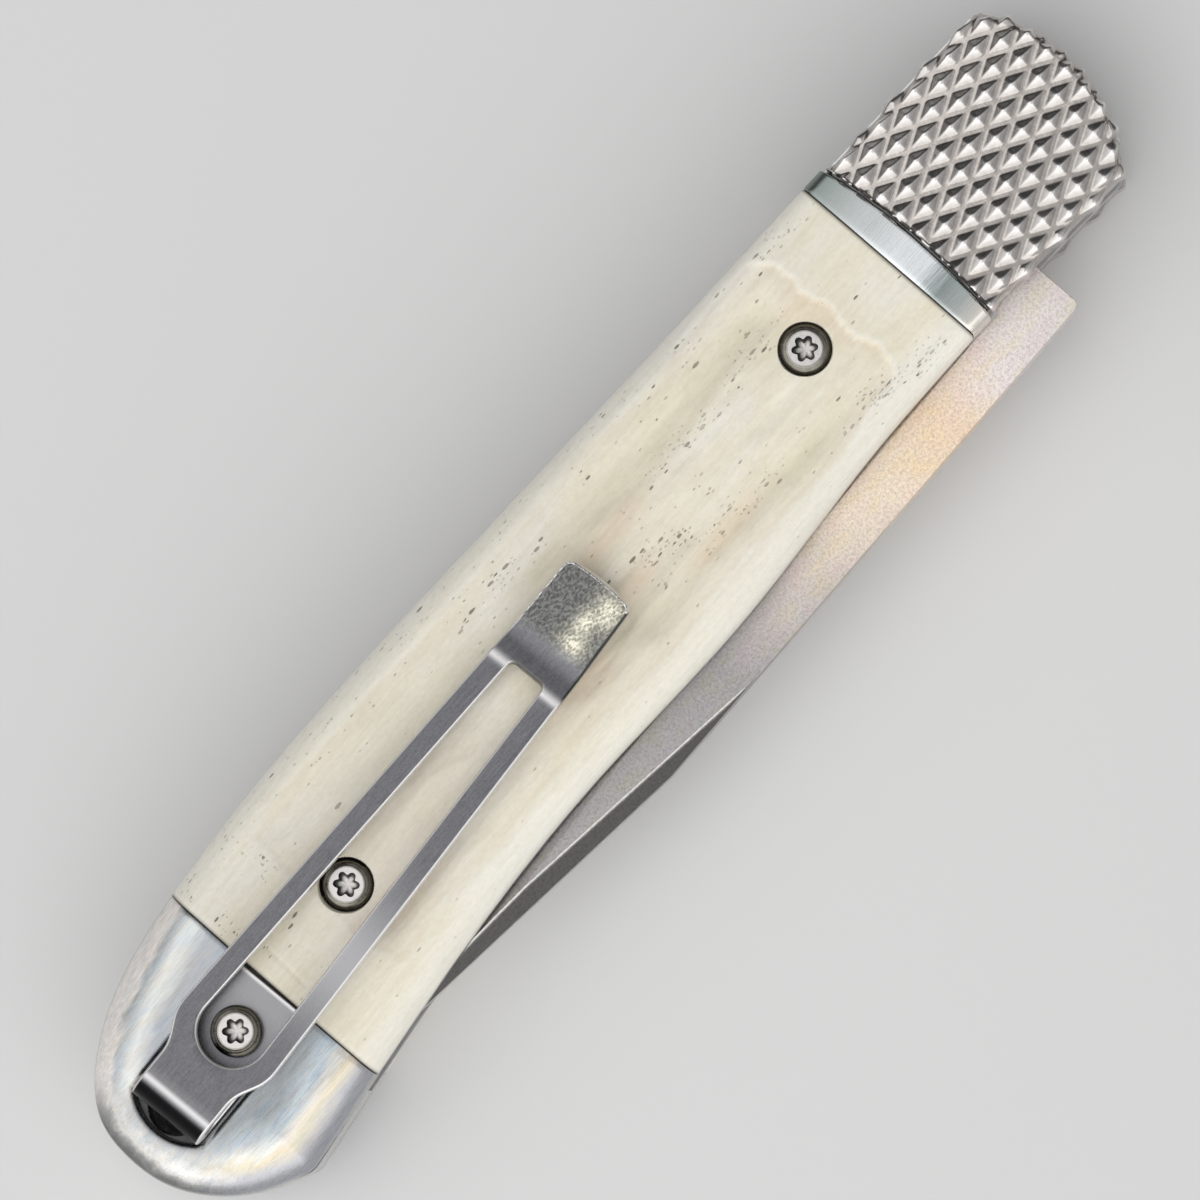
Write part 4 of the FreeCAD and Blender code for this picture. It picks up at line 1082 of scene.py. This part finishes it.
# Pocket clip, in its own frame: x along the handle from the clip screw
SHEET = 1.0
BEND_X = -6.1
BEND_Z = 13.338
BEND_MID = 1.5
BEND_INNER = BEND_MID - SHEET / 2
BASE_X = 3.97
FOOT_TOP = 12.34
TOUCH_X = 34.9
TOUCH_Z = LAND_Z + 0.1
TIP_X = 41.75
DIP_X = 32.7
DIP = radians(8.0)
DIP_R = 1.6
SLOPE = (BEND_Z + BEND_INNER - TOUCH_Z - DIP * (TOUCH_X - DIP_X)) / (TOUCH_X - BEND_X)
FLARE = radians(12.0)
CREASE_R = 4.0
CLIP_EDGE = 0.17
NECK_HALF, WIDE_HALF, TIP_HALF = 3.05, 4.3, 2.9
SLOT_REAR_R, SLOT_FRONT_HALF, SLOT_FRONT_X = 2.63, 1.5, 33.1
# Spots of painted highlight on the tip: place along and across, half length and half width
TIP_HIGHLIGHT_SPOTS = ((36.9, -1.25, 0.9, 1.0), (38.6, -1.0, 1.3, 0.8), (40.3, -1.8, 1.4, 1.1))
# Cuts along the tip, so that its finish can change across the plate
TIP_CUTS = (-2.35, -1.8, -1.25, -0.7, -0.1, 0.7, 1.6)
# A place along the handle in the bend
BLEND_X = -46.3


def clip_runs():
    # The strip's middle line from the foot to past the tip, as runs of a length and a turn
    bend = BEND_MID * (pi + SLOPE)
    arm_x = BEND_X + BEND_MID * cos(pi / 2 - SLOPE)
    crease = SLOPE + DIP + FLARE
    tangent = CREASE_R * tan(crease / 2)
    dip_tangent = DIP_R * tan(DIP / 2)
    arm = (DIP_X - arm_x) / cos(SLOPE) - dip_tangent
    down = (TOUCH_X - DIP_X) / cos(SLOPE + DIP) - dip_tangent - tangent
    plate = (TIP_X + 0.05 - TOUCH_X) / cos(FLARE) - tangent + 2
    return [(BASE_X - BEND_X, 0.0), (bend, -(pi + SLOPE)), (arm, 0.0), (DIP_R * DIP, -DIP), (down, 0.0),
            (CREASE_R * crease, crease), (plate, 0.0)]


def clip_path(s):
    # Place and heading on the middle line at a length s from the foot's end
    x, z, heading = BASE_X, BEND_Z - BEND_MID, pi
    for length, turn in CLIP_RUNS:
        run = min(s, length)
        if turn == 0:
            x += run * cos(heading)
            z += run * sin(heading)
        else:
            radius = length / turn
            angle = run / radius
            x += radius * (sin(heading + angle) - sin(heading))
            z -= radius * (cos(heading + angle) - cos(heading))
            heading += angle
        s -= run
        if s <= 0:
            break
    return x, z, heading


CLIP_RUNS = clip_runs()
FOOT_S, ARM_S, DIP_S, _, CREASE_S, PLATE_S, _ = np.cumsum([length for length, turn in CLIP_RUNS]).tolist()
ARM_X = clip_path(ARM_S)[0]


def strip_at(x):
    # Length along the strip of a place x on the arm or its tip
    length = ARM_S + (min(x, DIP_X) - ARM_X) / cos(SLOPE)
    length += max(0.0, min(x, TOUCH_X) - DIP_X) / cos(SLOPE + DIP)
    return length + max(0.0, x - TOUCH_X) / cos(FLARE) - 0.02 * (x > TOUCH_X)


def rounded(corners, pieces=8):
    # Closed plan line round corners of a place and a radius each
    made = []
    points = [np.array(place, float) for *place, radius in corners]
    for k, (p, (*_, radius)) in enumerate(zip(points, corners)):
        if radius == 0:
            made.append(p)
            continue
        a, b = (points[j % len(points)] - p for j in (k - 1, k + 1))
        a /= np.linalg.norm(a)
        b /= np.linalg.norm(b)
        half = acos(max(-1, min(1, a @ b))) / 2
        reach = radius / tan(half)
        center = p + (a + b) / np.linalg.norm(a + b) * radius / sin(half)
        first, last = (atan2(*(p + way * reach - center)[::-1]) for way in (a, b))
        sweep = (last - first + pi) % (2 * pi) - pi
        turns = (first + sweep * i / pieces for i in range(pieces + 1))
        made += [(center[0] + radius * cos(t), center[1] + radius * sin(t)) for t in turns]
    return made


def clip_plan():
    # The strip laid flat, length by width, with its slot and rounded edges
    tip, rear, front = strip_at(TIP_X), strip_at(0), strip_at(SLOT_FRONT_X)
    half = [(0, NECK_HALF, 0.25), (strip_at(-3.7), NECK_HALF, 3.4), (strip_at(-1.3), WIDE_HALF, 3.4),
            (tip - 0.25, TIP_HALF, 0.75)]
    outer = rounded([(s, -y, r) for s, y, r in half] + [(tip, 0, 14.0)] + half[::-1])
    taper = SLOT_REAR_R - SLOT_FRONT_HALF
    lean = asin(taper / hypot(SLOT_FRONT_X, taper))
    turns = (pi / 2 - lean + (pi + 2 * lean) * k / 32 for k in range(33))
    slot = [(rear + SLOT_REAR_R * cos(t), SLOT_REAR_R * sin(t)) for t in turns]
    slot += rounded([(rear, -SLOT_REAR_R, 0), (front, -SLOT_FRONT_HALF, 0.45), (front, SLOT_FRONT_HALF, 0.45),
                     (rear, SLOT_REAR_R, 0)])[1:-1]
    curve = bpy.data.curves.new("clip_plan", "CURVE")
    curve.dimensions = "2D"
    curve.fill_mode = "BOTH"
    curve.extrude = SHEET / 2 - CLIP_EDGE
    curve.bevel_depth = CLIP_EDGE
    curve.bevel_resolution = 3
    curve.offset = -CLIP_EDGE
    for line in (outer, slot):
        spline = curve.splines.new("POLY")
        spline.points.add(len(line) - 1)
        for point, (s, y) in zip(spline.points, line):
            point.co = (s, y, 0, 1)
        spline.use_cyclic_u = True
    holder = linked("clip_plan", curve)
    mesh = evaluated_mesh(holder)
    bpy.data.objects.remove(holder)
    return mesh


def cut_strip(bm):
    # Lines of points across the strip where it bends, and along its tip
    stops = [[0.42], np.arange(1.5, FOOT_S, 1.5), np.linspace(FOOT_S, ARM_S, 40),
             np.arange(ARM_S + 0.7, DIP_S - 0.7, 1.0), np.linspace(DIP_S - 0.6, DIP_S + DIP_R * DIP + 0.6, 15),
             np.linspace(CREASE_S, PLATE_S, 14), np.arange(PLATE_S + 0.35, strip_at(TIP_X) - 0.3, 0.5)]
    for s in np.concatenate(stops):
        bisect(bm, (s, 0, 0), (1, 0, 0), 1e-5)
    for y in TIP_CUTS:
        faces = [f for f in bm.faces if f.calc_center_median().x > CREASE_S]
        lines = dict.fromkeys(e for f in faces for e in f.edges)
        corners = dict.fromkeys(v for f in faces for v in f.verts)
        bisect(bm, (0, y, 0), (0, 1, 0), 1e-5, [*faces, *lines, *corners])


def clip_finish(s, y, t, x):
    # Pale edge, partly wear and partly painted highlight; pebbled tip; painted sheen; painted shade on the bend's
    # roll and beside the tip; painted glints at the crease, the bend and the foot's end; all at a point of the strip
    on_arm, on_edge, under = s > ARM_S, abs(t) < SHEET / 2 - 0.001, t < 0
    # Edges beside the tip and at the slot's end get painted shade in place of a pale edge
    beside_tip = DIP_X - 0.1 < x < 41.0 and y < -2.0
    in_slot = DIP_X < x < 34.0 and abs(y) < 1.6
    shaded = on_edge and on_arm and (beside_tip or in_slot)
    tip = float(step(35.3, 36.6, x)) if under and not shaded else 0.0
    # Painted sheen on the foot inside the slot, along the right arm and in spots on the tip
    if not on_arm:
        sheen = 0.55 * float(step(-1.5, 2.5, x)) * (s < FOOT_S)
    elif x < DIP_X:
        sheen = bell(x - 9.0, 5.0) * (y < 0)
    else:
        sheen = max(blot(x, y, *spot) for spot in TIP_HIGHLIGHT_SPOTS)
    turned_by = (ARM_S - s) / BEND_MID
    # Painted shade over the bend's roll
    roll = max(float(step(0.28, 0.52, turned_by)) * (s > FOOT_S), 0.8 * shaded)
    # Painted glint lines across the crease and the start of the bend, and on the foot's end
    wear_and_glint = bell(x - DIP_X, 0.32) * on_arm + 0.7 * bell(turned_by - 0.17, 0.12)
    foot_end = float(s < 0.3 and t > 0)
    return float(on_edge and not shaded), tip, sheen, roll, wear_and_glint if under else foot_end


def pocket_clip():
    mesh = clip_plan()
    bm = bmesh.new()
    bm.from_mesh(mesh)
    bmesh.ops.remove_doubles(bm, verts=bm.verts, dist=1e-4)
    cut_strip(bm)
    bmesh.ops.recalc_face_normals(bm, faces=bm.faces)
    finish = []
    for v in bm.verts:
        s, y, t = v.co
        x, z, heading = clip_path(s)
        finish.append(clip_finish(s, y, t, x))
        place = (*from_clip(x + t * sin(heading), y), z - t * cos(heading))
        v.co = [c * MM for c in place]
    bmesh.ops.recalc_face_normals(bm, faces=bm.faces)
    bm.to_mesh(mesh)
    bm.free()
    set_layers(mesh, dict(zip(("edge", "tip", "sheen", "roll", "wear_and_glint"), zip(*finish))))
    coat(mesh, satin_clip)
    mesh.name = "pocket_clip_strip"
    obj = smooth(linked("pocket_clip_strip", mesh), 60)
    obj.modifiers.new("flat_faces", "WEIGHTED_NORMAL").keep_sharp = True
    # Points at the foot's end and in the bend, which nothing below uses
    low = Vector((CLIP_AT[0] + BASE_X, 0, FOOT_TOP))
    start = Vector((BLEND_X, 0, 0))
    start.z = FOOT_TOP + 0.1 * (low.x - start.x) + 0.05
    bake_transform(obj)
    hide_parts("pocket_clip_base", "pocket_clip_arm")
    return obj


for side, seed, lower in (("clip_side", 11, False), ("mark_side", 83, True)):
    stand_in(bone_scale(side + "_bone", seed, lower), side + "_scale")
    stand_in(front_bolster(side + "_milled_bolster", seed, lower), side + "_front_bolster")
    stand_in(rear_bolster(side + "_polished_bolster", not lower, lower), side + "_rear_bolster")
    stand_in(trimmed_liner(side + "_liner"), side + "_liner")
    for end, turn in (("_front", 0.35 + 0.2 * lower), ("_rear", 0.10 + 0.3 * lower)):
        node = side + end + "_screw"
        stand_in(screw(side + end + "_button_screw", node, turn, lower), node)
stand_in(screw("clip_button_screw", "clip_screw", 0.22, False), "clip_screw")
pocket_clip()

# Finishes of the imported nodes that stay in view
finishes = {"blade": stonewashed, "backspring": spring, "clip_side_washer": bronze, "mark_side_washer": bronze}
for name, node in cad_nodes.items():
    coat(node.data, finishes.get(name, ground_pin))


# Floor, light and camera
FLOOR_HALF, FLOOR_Z = 1500.0, -0.02
CAMERA_DISTANCE = 0.60
CAMERA_FIELD = 86.6 * MM
CAMERA_TILT = radians(5.0)
CAMERA_TURN = radians(49.0)
CAMERA_AIM = Vector((0.3, 0.9, 10.0)) * MM
SENSOR = 36.0


def stage_floor():
    pale = Surface("pale_floor", 0.0).finished((0.72, 0.72, 0.715, 1), 0.7)
    corners = [(x * FLOOR_HALF, y * FLOOR_HALF, FLOOR_Z) for x, y in ((-1, -1), (1, -1), (1, 1), (-1, 1))]
    make("floor", corners, [(0, 1, 2, 3)], pale)


def softbox(name, place, size, power):
    lamp = bpy.data.lights.new(name, "AREA")
    lamp.shape = "RECTANGLE"
    lamp.size, lamp.size_y = size
    lamp.energy = power
    obj = linked(name, lamp)
    obj.location = place
    aim = Vector((0, 0, 0.006)) - Vector(place)
    obj.rotation_mode = "QUATERNION"
    obj.rotation_quaternion = aim.to_track_quat("-Z", "Y")


def studio():
    # A soft sky that is brighter on one side, a faint halo above and a low glow, and two softboxes
    scene.world = bpy.data.worlds.new("studio")
    scene.world.use_nodes = True
    w = Shading(scene.world.node_tree)
    w.tree.nodes.clear()
    place = w.add("TexCoord").outputs["Generated"]
    height = w.parts(place)[2]
    lean = w.add("VectorMath", {0: place, 1: (-0.42, -0.42, 0.80)}, operation="DOT_PRODUCT").outputs["Value"]
    glow = w.ramp(w.spread(lean, -0.5, 1.0), (0.13, (0.035, 0.037, 0.038)), (0.42, (0.16, 0.16, 0.165)),
                  (0.67, (0.52, 0.52, 0.53)), (0.87, (0.76, 0.76, 0.77)), (1.0, 0.80))
    halo = w.ramp(height, (0.70, 0), (0.84, (0.16, 0.158, 0.15)), (0.94, 0))
    low = w.ramp(height, (0.0, (0.24, 0.235, 0.23)), (0.14, (0.22, 0.215, 0.21)), (0.30, 0))
    colour = w.mixed(1.0, w.mixed(1.0, glow, halo, "ADD"), low, "ADD")
    shine = w.add("Background", {0: colour, 1: 1.0})
    w.add("OutputWorld", {0: shine.outputs[0]})
    softbox("side_softbox", (-0.40, -0.47, 0.38), (1.2, 0.8), 2.4)
    softbox("key_softbox", (-0.35, 0.35, 0.75), (1.2, 1.2), 3.1)


def camera():
    view = bpy.data.cameras.new("camera")
    view.sensor_width = SENSOR
    view.lens = SENSOR * CAMERA_DISTANCE / CAMERA_FIELD
    view.clip_start, view.clip_end = 0.01, 10
    back = Vector((0, -sin(CAMERA_TILT), cos(CAMERA_TILT)))
    up = Vector((sin(CAMERA_TURN), cos(CAMERA_TURN), 0))
    right = up.cross(back).normalized()
    up = back.cross(right)
    obj = linked("camera", view)
    facing = Matrix((right, up, back)).transposed().to_4x4()
    obj.matrix_world = Matrix.Translation(CAMERA_AIM + back * CAMERA_DISTANCE) @ facing
    scene.camera = obj


stage_floor()
studio()
camera()
scene.view_settings.view_transform = "Standard"
